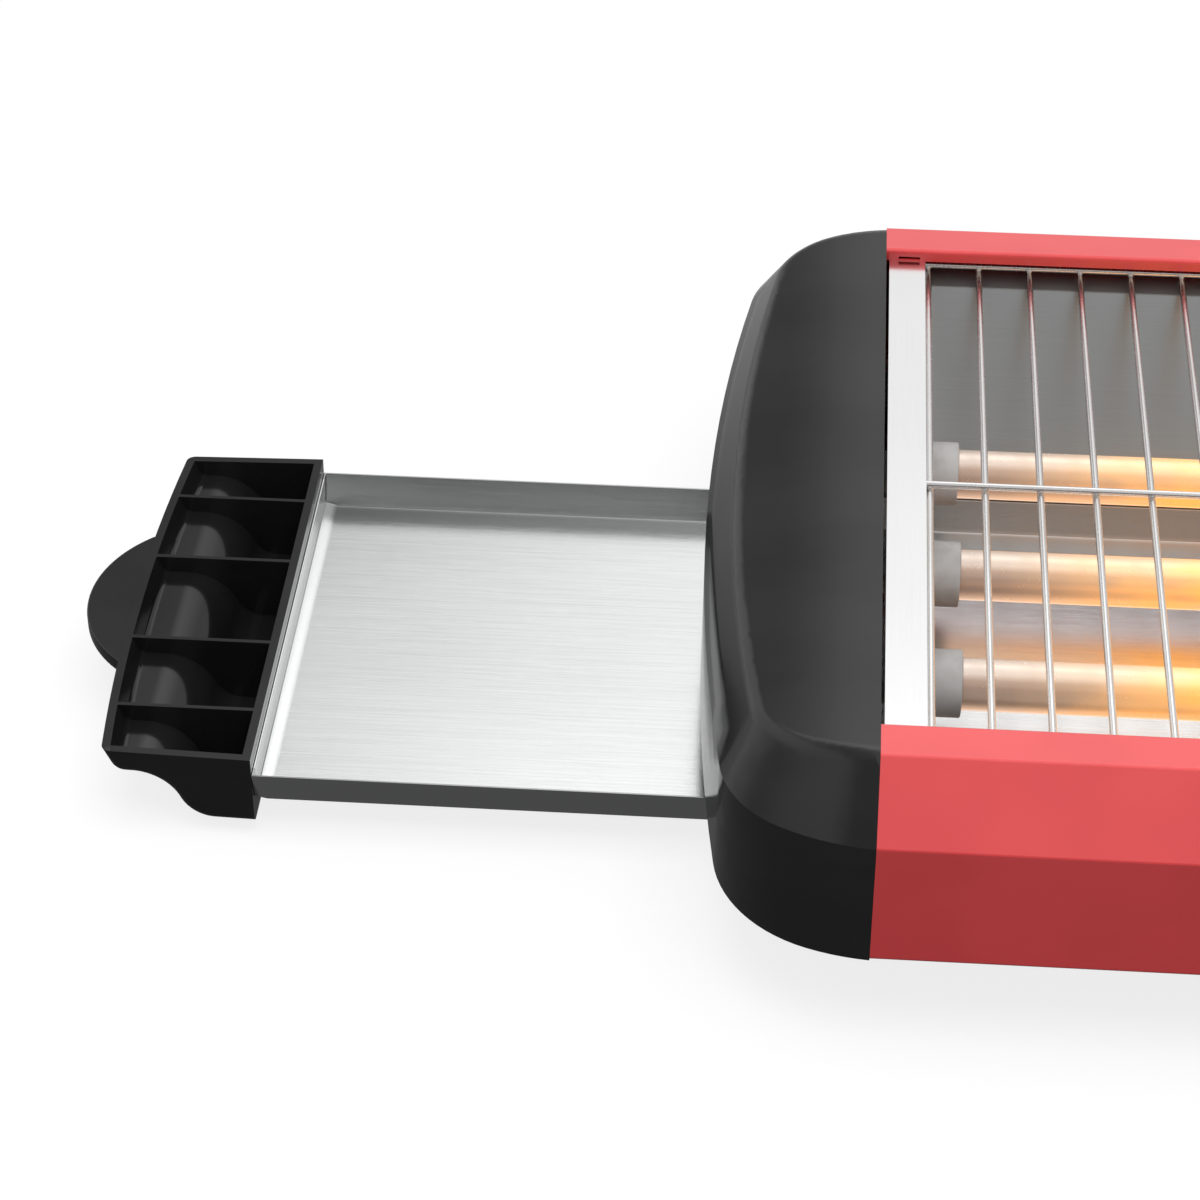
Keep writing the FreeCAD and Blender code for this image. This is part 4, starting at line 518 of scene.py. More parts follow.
@dataclass(frozen=True)
class Mottled:
    """A surface that drifts between two tones over a fine grain.

    Args:
        name: The material's name.
        first: Its main colour.
        second: Its other tone.
        drift: Repeats per millimetre, finer layers and their strength, for the drift's noise.
        step: The drift's values between which the tone changes.
        grain: The same three numbers for the grain's noise.
        gloss: Least roughness, and what the drift and the grain add to it.
        relief: Depth of the grain in millimetres, and how much of it shows.
        metal: 1 for a metal.
        index: Index of refraction.
    """

    name: str
    first: Triple
    second: Triple
    drift: tuple[float | Triple, float, float]
    step: tuple[float, float]
    grain: tuple[float | Triple, float, float]
    gloss: Triple
    relief: tuple[float, float]
    metal: float = 0.0
    index: float = 1.5

    def make(self) -> Material:
        """Build the material."""
        shader = Shader(self.name)
        drift = shader.noise(*self.drift)
        grain = shader.noise(*self.grain)
        least, by_drift, by_grain = self.gloss
        return shader.surface(
            Base_Color=shader.blend(drift.ramp(*self.step), self.first, self.second),
            Metallic=self.metal,
            Roughness=least + drift * by_drift + grain * by_grain,
            IOR=self.index,
            Normal=shader.bump(grain, *self.relief),
        )


@dataclass(frozen=True)
class TintedLens:
    """Amber lens with fine ribs inside.

    Args:
        name: The material's name.
        colour: The tint.
        light: How strongly the lamp shows.
    """

    name: str = "amber_lens"
    colour: Triple = (0.95, 0.22, 0.04)
    light: float = 0.5

    def make(self) -> Material:
        """Build the material."""
        shader = Shader(self.name)
        ribs = shader.cells((0.9, 0.9, 0.0))
        return shader.surface(
            Base_Color=self.colour,
            Roughness=0.10 + ribs * 0.15,
            IOR=1.49,
            Transmission_Weight=0.6,
            Emission_Color=shader.blend(ribs.ramp(0.1, 0.6), (0.9, 0.30, 0.06), (0.4, 0.08, 0.02)),
            Emission_Strength=self.light,
            Normal=shader.bump(ribs, 0.2, 0.6),
        )


def screw_metal(name: str, light: Triple, dark: Triple, gloss: float) -> Mottled:
    """Metal of a small turned or stamped piece."""
    return Mottled(name, light, dark, drift=(0.8, 4.0, 0.55), step=(0.35, 0.7), grain=(6.0, 2.0, 0.55),
                   gloss=(gloss, 0.15, 0.05), relief=(0.01, 0.4), metal=1.0)


def made(finish: Any) -> Any:
    """A field that holds the material of a finish."""
    return field(default_factory=finish.make)


@dataclass
class Finishes:
    """All finishes of the toaster, each made once."""

    enamel: Material = made(EnamelRed())
    cap: Material = made(BlackMoulding())
    handle: Material = made(BlackMoulding("handle_moulding", shade=0.009, gloss=0.07, grain=0.002))
    cover: Material = made(BlackMoulding("cover_moulding", shade=0.014, gloss=0.34, grain=0.01))
    knob: Material = made(BlackMoulding("knob_moulding", shade=0.014, gloss=0.22, grain=0.004))
    dial: Material = made(BlackMoulding("dial_face", shade=0.030, gloss=0.5, grain=0.01))
    plate: Material = made(BrushedSheet(
        "bright_plate", (0.97, 0.97, 0.97), Grain.ACROSS, gloss=0.10, streak=0.04))
    reflector: Material = made(BrushedSheet(
        "reflector_sheet", (0.45, 0.46, 0.455), Grain.ALONG, gloss=0.20, streak=0.14, ledge=57.1))
    tray: Material = made(BrushedSheet(
        "tray_sheet", (0.96, 0.97, 0.97), Grain.ALONG, gloss=0.08, streak=0.18, relief=0.026, walls=53.6))
    pan: Material = made(ZincSheet())
    wire: Material = made(Mottled(
        "plated_wire", (0.95, 0.94, 0.93), (0.88, 0.85, 0.82), drift=((0.02, 0.03, 0.05), 2.0, 0.55),
        step=(0.45, 0.75), grain=(2.2, 3.0, 0.55), gloss=(0.20, 0.0, 0.12), relief=(0.02, 0.35), metal=1.0))
    quartz: Material = made(GlowingQuartz())
    winding: Material = made(HotWire())
    ceramic: Material = made(FiredCeramic())
    screw: Material = made(screw_metal("zinc_screw", (0.74, 0.74, 0.73), (0.52, 0.53, 0.53), 0.26))
    brass: Material = made(screw_metal("brass_strip", (0.80, 0.60, 0.28), (0.52, 0.36, 0.16), 0.3))
    rubber: Material = made(Mottled(
        "soft_rubber", (0.018, 0.018, 0.018), (0.05, 0.048, 0.045), drift=(2.0, 4.0, 0.7),
        step=(0.5, 0.8), grain=(2.0, 4.0, 0.7), gloss=(0.72, 0.0, 0.2), relief=(0.05, 0.5), index=1.45))
    ink: Material = made(Mottled(
        "white_print", (0.78, 0.78, 0.76), (0.6708, 0.6708, 0.6536), drift=(4.0, 3.0, 0.55),
        step=(0.4, 0.7), grain=(4.0, 3.0, 0.55), gloss=(0.5, 0.0, 0.1), relief=(0.01, 0.3)))
    lens: Material = made(TintedLens())
    lamp: Material = made(TintedLens("lamp_bulb", (0.95, 0.80, 0.62), 0.8))
    ivory: Material = made(Mottled(
        "ivory_moulding", (0.66, 0.63, 0.56), (0.5808, 0.5544, 0.4928), drift=(0.06, 3.0, 0.55),
        step=(0.3, 0.7), grain=(5.0, 2.0, 0.55), gloss=(0.45, 0.0, 0.1), relief=(0.02, 0.4)))


# Making pieces


def new_piece(name: str, data: bpy.types.ID) -> Piece:
    """Put an object into the scene.

    Args:
        name: The object's name.
        data: Its mesh, text, lamp or camera.

    Returns:
        The object.
    """
    piece = bpy.data.objects.new(name, data)
    bpy.context.scene.collection.objects.link(piece)
    return piece


def from_bmesh(name: str, form: bmesh.types.BMesh) -> Piece:
    """Turn a finished form into a piece.

    Args:
        name: The piece's name.
        form: The form, which is freed.

    Returns:
        The piece.
    """
    mesh = bpy.data.meshes.new(name)
    form.to_mesh(mesh)
    form.free()
    return new_piece(name, mesh)


def final_mesh(piece: Piece) -> bpy.types.Mesh:
    """A new mesh of a piece as its modifiers show it."""
    graph = bpy.context.evaluated_depsgraph_get()
    return bpy.data.meshes.new_from_object(piece.evaluated_get(graph))


def plain_mesh(piece: Piece) -> Piece:
    """Bake a piece's modifiers into its mesh.

    Args:
        piece: The piece, which loses its modifiers.

    Returns:
        The same piece.
    """
    baked = final_mesh(piece)
    piece.modifiers.clear()
    piece.data = baked
    return piece


def shade(piece: Piece, sharp: float) -> None:
    """Shade a piece smooth but for its sharp edges.

    Args:
        piece: The piece.
        sharp: The angle in degrees past which an edge stays sharp.
    """
    mesh = piece.data
    mesh.polygons.foreach_set("use_smooth", [True] * len(mesh.polygons))
    mesh.set_sharp_from_angle(angle=math.radians(sharp))


def soften(piece: Piece, width: float, steps: int) -> None:
    """Round a piece's edges.

    Args:
        piece: The piece.
        width: Width of the rounding.
        steps: Faces across it.
    """
    edge = piece.modifiers.new("soft edges", "BEVEL")
    edge.width = width
    edge.segments = steps
    edge.limit_method = "ANGLE"
    edge.angle_limit = EDGE
    edge.miter_outer = "MITER_ARC"
    edge.use_clamp_overlap = True
    plain_mesh(piece)


def settle(piece: Piece, body: Body, finish: Material, nodes: Sequence[str] = ()) -> None:
    """Give a piece its finish and its body.

    Args:
        piece: The piece.
        body: The body that it rides on.
        finish: Its material.
        nodes: The nodes that it stands for.
    """
    piece.data.materials.clear()
    piece.data.materials.append(finish)
    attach(piece, body.value)
    if nodes:
        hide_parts(*nodes)
    LOG.info("%s on %s: %d faces", piece.name, body.value, len(piece.data.polygons))


def dress(node: str, finish: Material, soft: float, steps: int = 2,
          body: Body = Body.CASING) -> None:
    """Stand a copy with joined facets, soft edges and smooth shading in a node's place.

    Args:
        node: The node's name.
        finish: Its material.
        soft: Width of the softened edges in millimetres.
        steps: Faces across a softened edge.
        body: The body that it rides on.
    """
    form = bmesh.new()
    form.from_mesh(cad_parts[node].data)
    bmesh.ops.remove_doubles(form, verts=form.verts, dist=MERGE)
    bmesh.ops.join_triangles(form, faces=form.faces, angle_face_threshold=FLAT,
                             angle_shape_threshold=math.pi)
    piece = from_bmesh(node + "_dressed", form)
    soften(piece, soft * MM, steps)
    shade(piece, CREASE)
    even = piece.modifiers.new("even shading", "WEIGHTED_NORMAL")
    even.mode = "FACE_AREA"
    even.keep_sharp = True
    settle(plain_mesh(piece), body, finish, [node])


def keep(nodes: Iterable[str], finish: Material) -> None:
    """Give nodes that stay as they are their finish.

    Args:
        nodes: The nodes' names.
        finish: Their material.
    """
    for node in nodes:
        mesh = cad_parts[node].data
        mesh.materials.clear()
        mesh.materials.append(finish)
        LOG.info("%s keeps its shape: %s", node, finish.name)


def centre_of(node: str) -> Vector:
    """The centre of a node's box."""
    low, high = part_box(node)
    return (low + high) / 2


def joined(name: str, pieces: Sequence[Piece]) -> Piece:
    """Join pieces into one mesh.

    Args:
        name: The new piece's name.
        pieces: The pieces, which are removed.

    Returns:
        The new piece.
    """
    form = bmesh.new()
    for piece in pieces:
        form.from_mesh(piece.data)
        bpy.data.objects.remove(piece)
    return from_bmesh(name, form)


def points(name: str, places: Iterable[Sequence[float]]) -> Piece:
    """A piece of loose points for a pattern to stand on.

    Args:
        name: The piece's name.
        places: The points.

    Returns:
        The piece.
    """
    form = bmesh.new()
    for place in places:
        form.verts.new(place)
    return from_bmesh(name, form)


# Geometry Nodes


class Pattern(Tree):
    """A Geometry Nodes tree with named sizes.

    Args:
        name: The tree's name.
    """

    def __init__(self, name: str) -> None:
        """Make a tree with its ends."""
        super().__init__(bpy.data.node_groups.new(name, "GeometryNodeTree"), "GeometryNode")
        for way in ("INPUT", "OUTPUT"):
            self.tree.interface.new_socket("Geometry", in_out=way, socket_type="NodeSocketGeometry")
        self.given = self.tree.nodes.new("NodeGroupInput")
        self.result = self.tree.nodes.new("NodeGroupOutput")
        self.sizes: dict[str, Any] = {}

    def size(self, name: str, value: float | int | Triple) -> bpy.types.NodeSocket:
        """Add a named input.

        Args:
            name: The input's name.
            value: Its value, which also sets its kind.

        Returns:
            The input's socket inside the tree.
        """
        kinds = {int: "NodeSocketInt", float: "NodeSocketFloat", tuple: "NodeSocketVector"}
        self.tree.interface.new_socket(name, in_out="INPUT", socket_type=kinds[type(value)])
        self.sizes[name] = value
        return self.given.outputs[name]

    def maths(self, operation: str, first: Any, second: Any) -> Node:
        """One step of arithmetic."""
        return self.node("ShaderNodeMath", first, second, settings={"operation": operation})

    def times(self, first: Any, second: Any) -> Node:
        """Product of both."""
        return self.maths("MULTIPLY", first, second)

    def plus(self, first: Any, second: Any) -> Node:
        """Sum of both."""
        return self.maths("ADD", first, second)

    def vector(self, x: Any = 0.0, y: Any = 0.0, z: Any = 0.0) -> Node:
        """A vector from three numbers."""
        return self.node("ShaderNodeCombineXYZ", x, y, z)

    def ring(self, corners: int, radius: Any) -> Node:
        """A circle to sweep along a line."""
        return self.node("CurvePrimitiveCircle", Resolution=corners, Radius=radius)

    def swept(self, line: Node, ring: Node) -> Node:
        """A closed bar along a line."""
        return self.node("CurveToMesh", line, ring, Fill_Caps=True)

    def cylinder(self, corners: int, radius: Any, length: Any) -> Node:
        """An upright cylinder about the origin."""
        return self.node("MeshCylinder", Vertices=corners, Radius=radius, Depth=length)

    def moved(self, shape: Node, **how: Any) -> Node:
        """A shape after a Translation, Rotation or Scale."""
        return self.node("Transform", Geometry=shape, **how)

    def copies(self, places: Node, shape: Node, **how: Any) -> Node:
        """A copy of a shape on every place."""
        return self.node("InstanceOnPoints", Points=places, Instance=shape, **how)

    def join(self, *parts: Node) -> Node:
        """All parts as one geometry."""
        return self.node("JoinGeometry", list(parts))

    def bake(self, base: Piece, shape: Node, finish: Material) -> Piece:
        """End the tree, run it on a piece and keep the result as a plain mesh.

        Args:
            base: The piece that the tree runs on.
            shape: The node whose geometry is the result.
            finish: The material.

        Returns:
            The piece.
        """
        smooth = self.node("SetShadeSmooth", self.node("RealizeInstances", shape))
        self.feed(self.result.inputs[0], self.node("SetMaterial", smooth, Material=finish))
        modifier = base.modifiers.new(self.tree.name, "NODES")
        modifier.node_group = self.tree
        for item in self.tree.interface.items_tree:
            if item.in_out == "INPUT" and item.name in self.sizes:
                modifier[item.identifier] = self.sizes[item.name]
        return plain_mesh(base)


# The toaster


@dataclass
class Casing:
    """Painted shells, end caps and their covers, bright plates and the pan.

    Args:
        finishes: The toaster's finishes.
        fold: Softening of the painted sheet's edges in millimetres.
        bright: Softening of the reflectors' edges.
        moulding: Softening of the caps' edges.
        cover: Softening of the covers' edges.
        plate: Softening of the end plates' edges.
        pan: Softening of the pan's edges.
    """

    finishes: Finishes
    fold: float = 0.18
    bright: float = 0.12
    moulding: float = 0.35
    cover: float = 0.25
    plate: float = 0.15
    pan: float = 0.2

    def build(self) -> None:
        """Dress the fixed outside of the toaster."""
        looks = self.finishes
        for side in ("front", "back"):
            dress(side + "_shell", looks.enamel, self.fold)
            dress(side + "_reflector", looks.reflector, self.bright)
        for side in ("left", "right"):
            dress(side + "_end_cap", looks.cap, self.moulding)
            dress(side + "_bottom_cover", looks.cover, self.cover)
            dress(side + "_end_plate", looks.plate, self.plate)
        dress("base_pan", looks.pan, self.pan)


@dataclass
class WireRack:
    """Cross wires welded below three rails.

    Args:
        finishes: The toaster's finishes.
        wire: Wire diameter.
        count: Number of cross wires.
        rail: Outer rails from the middle plane.
        tip: Turned-down ends from the middle plane.
        sink: How far the wires are welded into each other.
        bend: Corners in each turned-down bend.
        bead: Weld bead's radius as a share of the wire's.
        squash: The bead's stretch along X, Y and Z.
    """

    finishes: Finishes
    wire: float = 1.6 * MM
    count: int = 22
    rail: float = 91.0 * MM
    tip: float = 93.0 * MM
    sink: float = 0.2 * MM
    bend: int = 4
    bead: float = 1.25
    squash: Triple = (0.85, 1.0, 0.7)

    def path(self, x: float, low: float, high: float) -> Piece:
        """The centre line of the first cross wire.

        Args:
            x: Its place along the casing.
            low: Height of its tips.
            high: Height of its run.

        Returns:
            A piece of joined edges.
        """
        form = bmesh.new()
        radius = self.wire
        line = [(self.tip, low)]
        for step in range(self.bend + 1):
            angle = math.radians(90 * step / self.bend)
            y = self.tip - radius + radius * math.cos(angle)
            line.append((y, high - radius + radius * math.sin(angle)))
        line += [(-y, z) for y, z in reversed(line)]
        spots = [form.verts.new((x, y, z)) for y, z in line]
        for first, second in zip(spots, spots[1:]):
            form.edges.new((first, second))
        return from_bmesh("wire_rack_dressed", form)

    def build(self) -> None:
        """Make the rack with its weld beads."""
        low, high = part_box("wire_rack")
        half = self.wire / 2
        rail_height = high.z - half
        cross_height = rail_height - self.wire + self.sink
        pitch = (high.x - low.x - self.wire) / (self.count - 1)
        base = self.path(low.x + half, low.z, cross_height)
        pattern = Pattern("welded rack")
        radius = pattern.size("Wire Radius", half)
        count = pattern.size("Cross Wires", self.count)
        spacing = pattern.size("Pitch", pitch)
        offset = pattern.size("Rail Offset", self.rail)
        start = pattern.size("Rail Start", (low.x, 0.0, rail_height))
        end = pattern.size("Rail End", (high.x, 0.0, rail_height))
        centre = pattern.size("Bead Centre", ((low.x + high.x) / 2, 0.0, (rail_height + cross_height) / 2))
        ring = pattern.ring(14, radius)
        cross = pattern.swept(pattern.node("MeshToCurve", pattern.given), ring)
        row = pattern.node("MeshLine", Count=count, Offset=pattern.vector(x=spacing))
        long_line = pattern.node("CurvePrimitiveLine", Start=start, End=end)
        rail_row = pattern.node("MeshLine", Count=3, Offset=pattern.vector(y=offset),
                                Start_Location=pattern.vector(y=pattern.times(offset, -1.0)))
        spread = pattern.times(spacing, pattern.maths("SUBTRACT", count, 1.0))
        grid = pattern.node("MeshGrid", Size_X=spread, Size_Y=pattern.times(offset, 2.0),
                            Vertices_X=count, Vertices_Y=3)
        bead = pattern.node("MeshUVSphere", Segments=10, Rings=6, Radius=pattern.times(radius, self.bead))
        wires = pattern.copies(row, cross)
        rails = pattern.copies(rail_row, pattern.swept(long_line, ring))
        crossings = pattern.moved(grid, Translation=centre)
        beads = pattern.copies(crossings, pattern.moved(bead, Scale=self.squash))
        piece = pattern.bake(base, pattern.join(wires, rails, beads), self.finishes.wire)
        shade(piece, CREASE)
        settle(piece, Body.CASING, self.finishes.wire, ["wire_rack"])


@dataclass
class QuartzHeaters:
    """Three quartz tubes with glowing windings between ceramic holders.

    Args:
        finishes: The toaster's finishes.
        turns: Turns of each winding.
        wire: Diameter of the resistance wire.
        pin: Radius of a terminal pin.
        pin_reach: Length of the pins and their collars beyond each end of the winding.
        tube: Softening of the tubes' edges in millimetres.
        holder: Softening of the holders' edges in millimetres.
    """

    finishes: Finishes
    turns: float = 104.0
    wire: float = 0.75 * MM
    pin: float = 1.25 * MM
    pin_reach: float = 26.0 * MM
    tube: float = 0.2
    holder: float = 0.4

    def build(self) -> None:
        """Make the windings and dress the tubes and the holders."""
        rows = ("front", "middle", "back")
        for row in rows:
            dress("quartz_tube_" + row, self.finishes.quartz, self.tube)
            for side in ("left", "right"):
                dress(side + "_ceramic_" + row, self.finishes.ceramic, self.holder, steps=3)
        self.windings(["heating_coil_" + row for row in rows])

    def windings(self, nodes: Sequence[str]) -> None:
        """Wind one open coil with two straight pins for each tube.

        Args:
            nodes: The nodes that the windings stand for.
        """
        low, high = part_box(nodes[0])
        base = points("heating_windings", [centre_of(node) for node in nodes])
        pattern = Pattern("heating winding")
        coil_length = pattern.size("Wound Length", high.x - low.x - 2 * self.pin_reach)
        radius = pattern.size("Coil Radius", (high.z - low.z) / 2 - self.wire / 2)
        turns = pattern.size("Turns", self.turns)
        wire = pattern.size("Wire Radius", self.wire / 2)
        reach = pattern.size("Pin Length", self.pin_reach)
        spiral = pattern.node("CurveSpiral", Resolution=12, Rotations=turns, Start_Radius=radius,
                              End_Radius=radius, Height=coil_length)
        back = pattern.vector(z=pattern.times(coil_length, -0.5))
        coil = pattern.moved(pattern.swept(spiral, pattern.ring(6, wire)), Translation=back)
        pin = pattern.cylinder(16, self.pin, reach)
        half = pattern.times(pattern.plus(coil_length, reach), 0.5)
        pins = [pattern.moved(pin, Translation=pattern.vector(z=pattern.times(half, way)))
                for way in (-1.0, 1.0)]
        lying = pattern.moved(pattern.join(coil, *pins), Rotation=(0.0, math.pi / 2, 0.0))
        piece = pattern.bake(base, pattern.copies(pattern.given, lying), self.finishes.winding)
        shade(piece, CREASE)
        settle(piece, Body.CASING, self.finishes.winding, nodes)


@dataclass
class CrumbTray:
    """The brushed tray and its ribbed handle.

    Args:
        finishes: The toaster's finishes.
        sheet: Softening of the tray's edges in millimetres.
        moulding: Softening of the handle's edges in millimetres.
    """

    finishes: Finishes
    sheet: float = 0.14
    moulding: float = 0.3

    def build(self) -> None:
        """Dress the tray and the handle."""
        looks = self.finishes
        dress("crumb_tray", looks.tray, self.sheet, body=Body.TRAY)
        dress("tray_handle", looks.handle, self.moulding, steps=3, body=Body.TRAY)


@dataclass
class Dial:
    """A knob, its shaft and the printed plate under it.

    Args:
        finishes: The toaster's finishes.
        name: The control's name in its nodes.
        body: The body that turns.
        figures: Each printed figure with its angle in degrees.
        ticks: Number of printed ticks.
        sweep: Angle from the first tick to the last, in degrees.
        figure_size: Size of the figures.
        figure_gap: From the ticks to the figures' middles.
        tick_length: Length of a tick.
        tick_width: Width of a tick.
        tick_gap: From the knob to the ticks.
        print_height: Thickness of the print.
        line_width: Width of the pointer's line.
        line_end: From each end of the line to the knob's centre or rim.
        line_sunk: Depth of the line below the knob's top.
        line_depth: Thickness of the line.
        line_soft: Rounding of the line's edges.
    """

    finishes: Finishes
    name: str
    body: Body
    figures: Sequence[tuple[str, float]]
    ticks: int
    sweep: float
    figure_size: float = 2.9 * MM
    figure_gap: float = 1.75 * MM
    tick_length: float = 1.3 * MM
    tick_width: float = 0.35 * MM
    tick_gap: float = 0.5 * MM
    print_height: float = 0.06 * MM
    line_width: float = 1.24 * MM
    line_end: float = 2.6 * MM
    line_sunk: float = 0.35 * MM
    line_depth: float = 0.2 * MM
    line_soft: float = 0.08 * MM

    def build(self) -> None:
        """Dress the control and print its scale."""
        knob = self.name + "_knob"
        plate = self.name + "_dial"
        dress(knob, self.finishes.knob, soft=0.22, body=self.body)
        keep([self.name + "_shaft"], self.finishes.screw)
        dress(plate, self.finishes.dial, soft=0.1)
        self.scale(plate, knob)
        self.pointer(knob)

    def direction(self, turned: float) -> Vector:
        """The way the pointer shows after a clockwise turn in degrees."""
        angle = math.radians(-90.0 - turned)
        return Vector((math.cos(angle), math.sin(angle), 0.0))

    def scale(self, plate: str, knob: str) -> None:
        """Print the ticks and the figures round the knob.

        Args:
            plate: The dial plate's node.
            knob: The knob's node.
        """
        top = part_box(plate)[1].z
        centre = centre_of(plate)
        knob_low, knob_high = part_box(knob)
        inner = (knob_high.x - knob_low.x) / 2 + self.tick_gap
        base = points(self.name + "_ticks", [(centre.x, centre.y, top)])
        pattern = Pattern(self.name + " scale ticks")
        count = pattern.size("Ticks", self.ticks)
        step = pattern.size("Step", -math.radians(self.sweep / (self.ticks - 1)))
        radius = pattern.size("Radius", inner + self.tick_length / 2)
        size = pattern.size("Tick Size", (self.tick_length, self.tick_width, self.print_height))
        bar = pattern.node("MeshCube", Size=size)
        out = pattern.moved(bar, Translation=pattern.vector(x=radius, z=self.print_height / 2))
        row = pattern.node("MeshLine", Count=count, Offset=(0.0, 0.0, 0.0))
        turn = pattern.plus(pattern.times(pattern.node("InputIndex"), step), -math.pi / 2)
        marks = pattern.copies(row, out, Rotation=pattern.vector(z=turn))
        ticks = pattern.bake(base, pattern.copies(pattern.given, marks), self.finishes.ink)
        reach = inner + self.tick_length + self.figure_gap
        letters = []
        for figure, turned in self.figures:
            spot = centre + self.direction(turned) * reach
            letters.append(self.figure(figure, Vector((spot.x, spot.y, top))))
        for print_piece in (ticks, joined(self.name + "_figures", letters)):
            shade(print_piece, FINE_CREASE)
            settle(print_piece, Body.CASING, self.finishes.ink)

    def figure(self, text: str, spot: Vector) -> Piece:
        """One printed figure, upright as seen from the front.

        Args:
            text: The figure.
            spot: Its centre on the plate.

        Returns:
            The figure as a mesh.
        """
        curve = bpy.data.curves.new("figure", "FONT")
        curve.body = text
        curve.size = self.figure_size
        curve.extrude = self.print_height / 2
        curve.align_x = "CENTER"
        curve.align_y = "CENTER"
        curve.resolution_u = 3
        writing = new_piece("figure", curve)
        mesh = final_mesh(writing)
        bpy.data.objects.remove(writing)
        mesh.transform(Matrix.Translation(spot + Vector((0.0, 0.0, self.print_height / 2))))
        return new_piece("figure_mesh", mesh)

    def pointer(self, knob: str) -> None:
        """Fill the knob's groove with a white line.

        Args:
            knob: The knob's node.
        """
        low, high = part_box(knob)
        centre = (low + high) / 2
        outer = (high.x - low.x) / 2 - self.line_end
        top = high.z - self.line_sunk
        form = bmesh.new()
        bmesh.ops.create_cube(form, size=1.0)
        for corner in form.verts:
            x = centre.x + corner.co.x * self.line_width
            y = centre.y - (self.line_end if corner.co.y > 0 else outer)
            z = top if corner.co.z > 0 else top - self.line_depth
            corner.co = (x, y, z)
        bmesh.ops.recalc_face_normals(form, faces=form.faces)
        line = from_bmesh(self.name + "_pointer", form)
        soften(line, self.line_soft, 2)
        shade(line, LINE_CREASE)
        settle(line, self.body, self.finishes.ink)


@dataclass
class Controls:
    """The timer, the power knob and the pilot lamp on the right cap.

    Args:
        finishes: The toaster's finishes.
        minute: Turn of the timer for a minute, in degrees.
        power: Turn of the power knob for a step, in degrees.
    """

    finishes: Finishes
    minute: float = 60.0
    power: float = 90.0

    def build(self) -> None:
        """Dress every piece of the controls."""
        looks = self.finishes
        minutes = [(str(number), number * self.minute) for number in range(6)]
        powers = [(str(number), number * self.power) for number in range(3)]
        Dial(looks, "timer", Body.TIMER, minutes, 21, 5 * self.minute).build()
        Dial(looks, "selector", Body.SELECTOR, powers, 9, 2 * self.power, 3.3 * MM).build()
        dress("pilot_lens", looks.lens, soft=0.15)
        dress("pilot_lamp", looks.lamp, soft=0.6, steps=4)
        keep(["timer_case", "switch_case", "terminal_block"], looks.ivory)


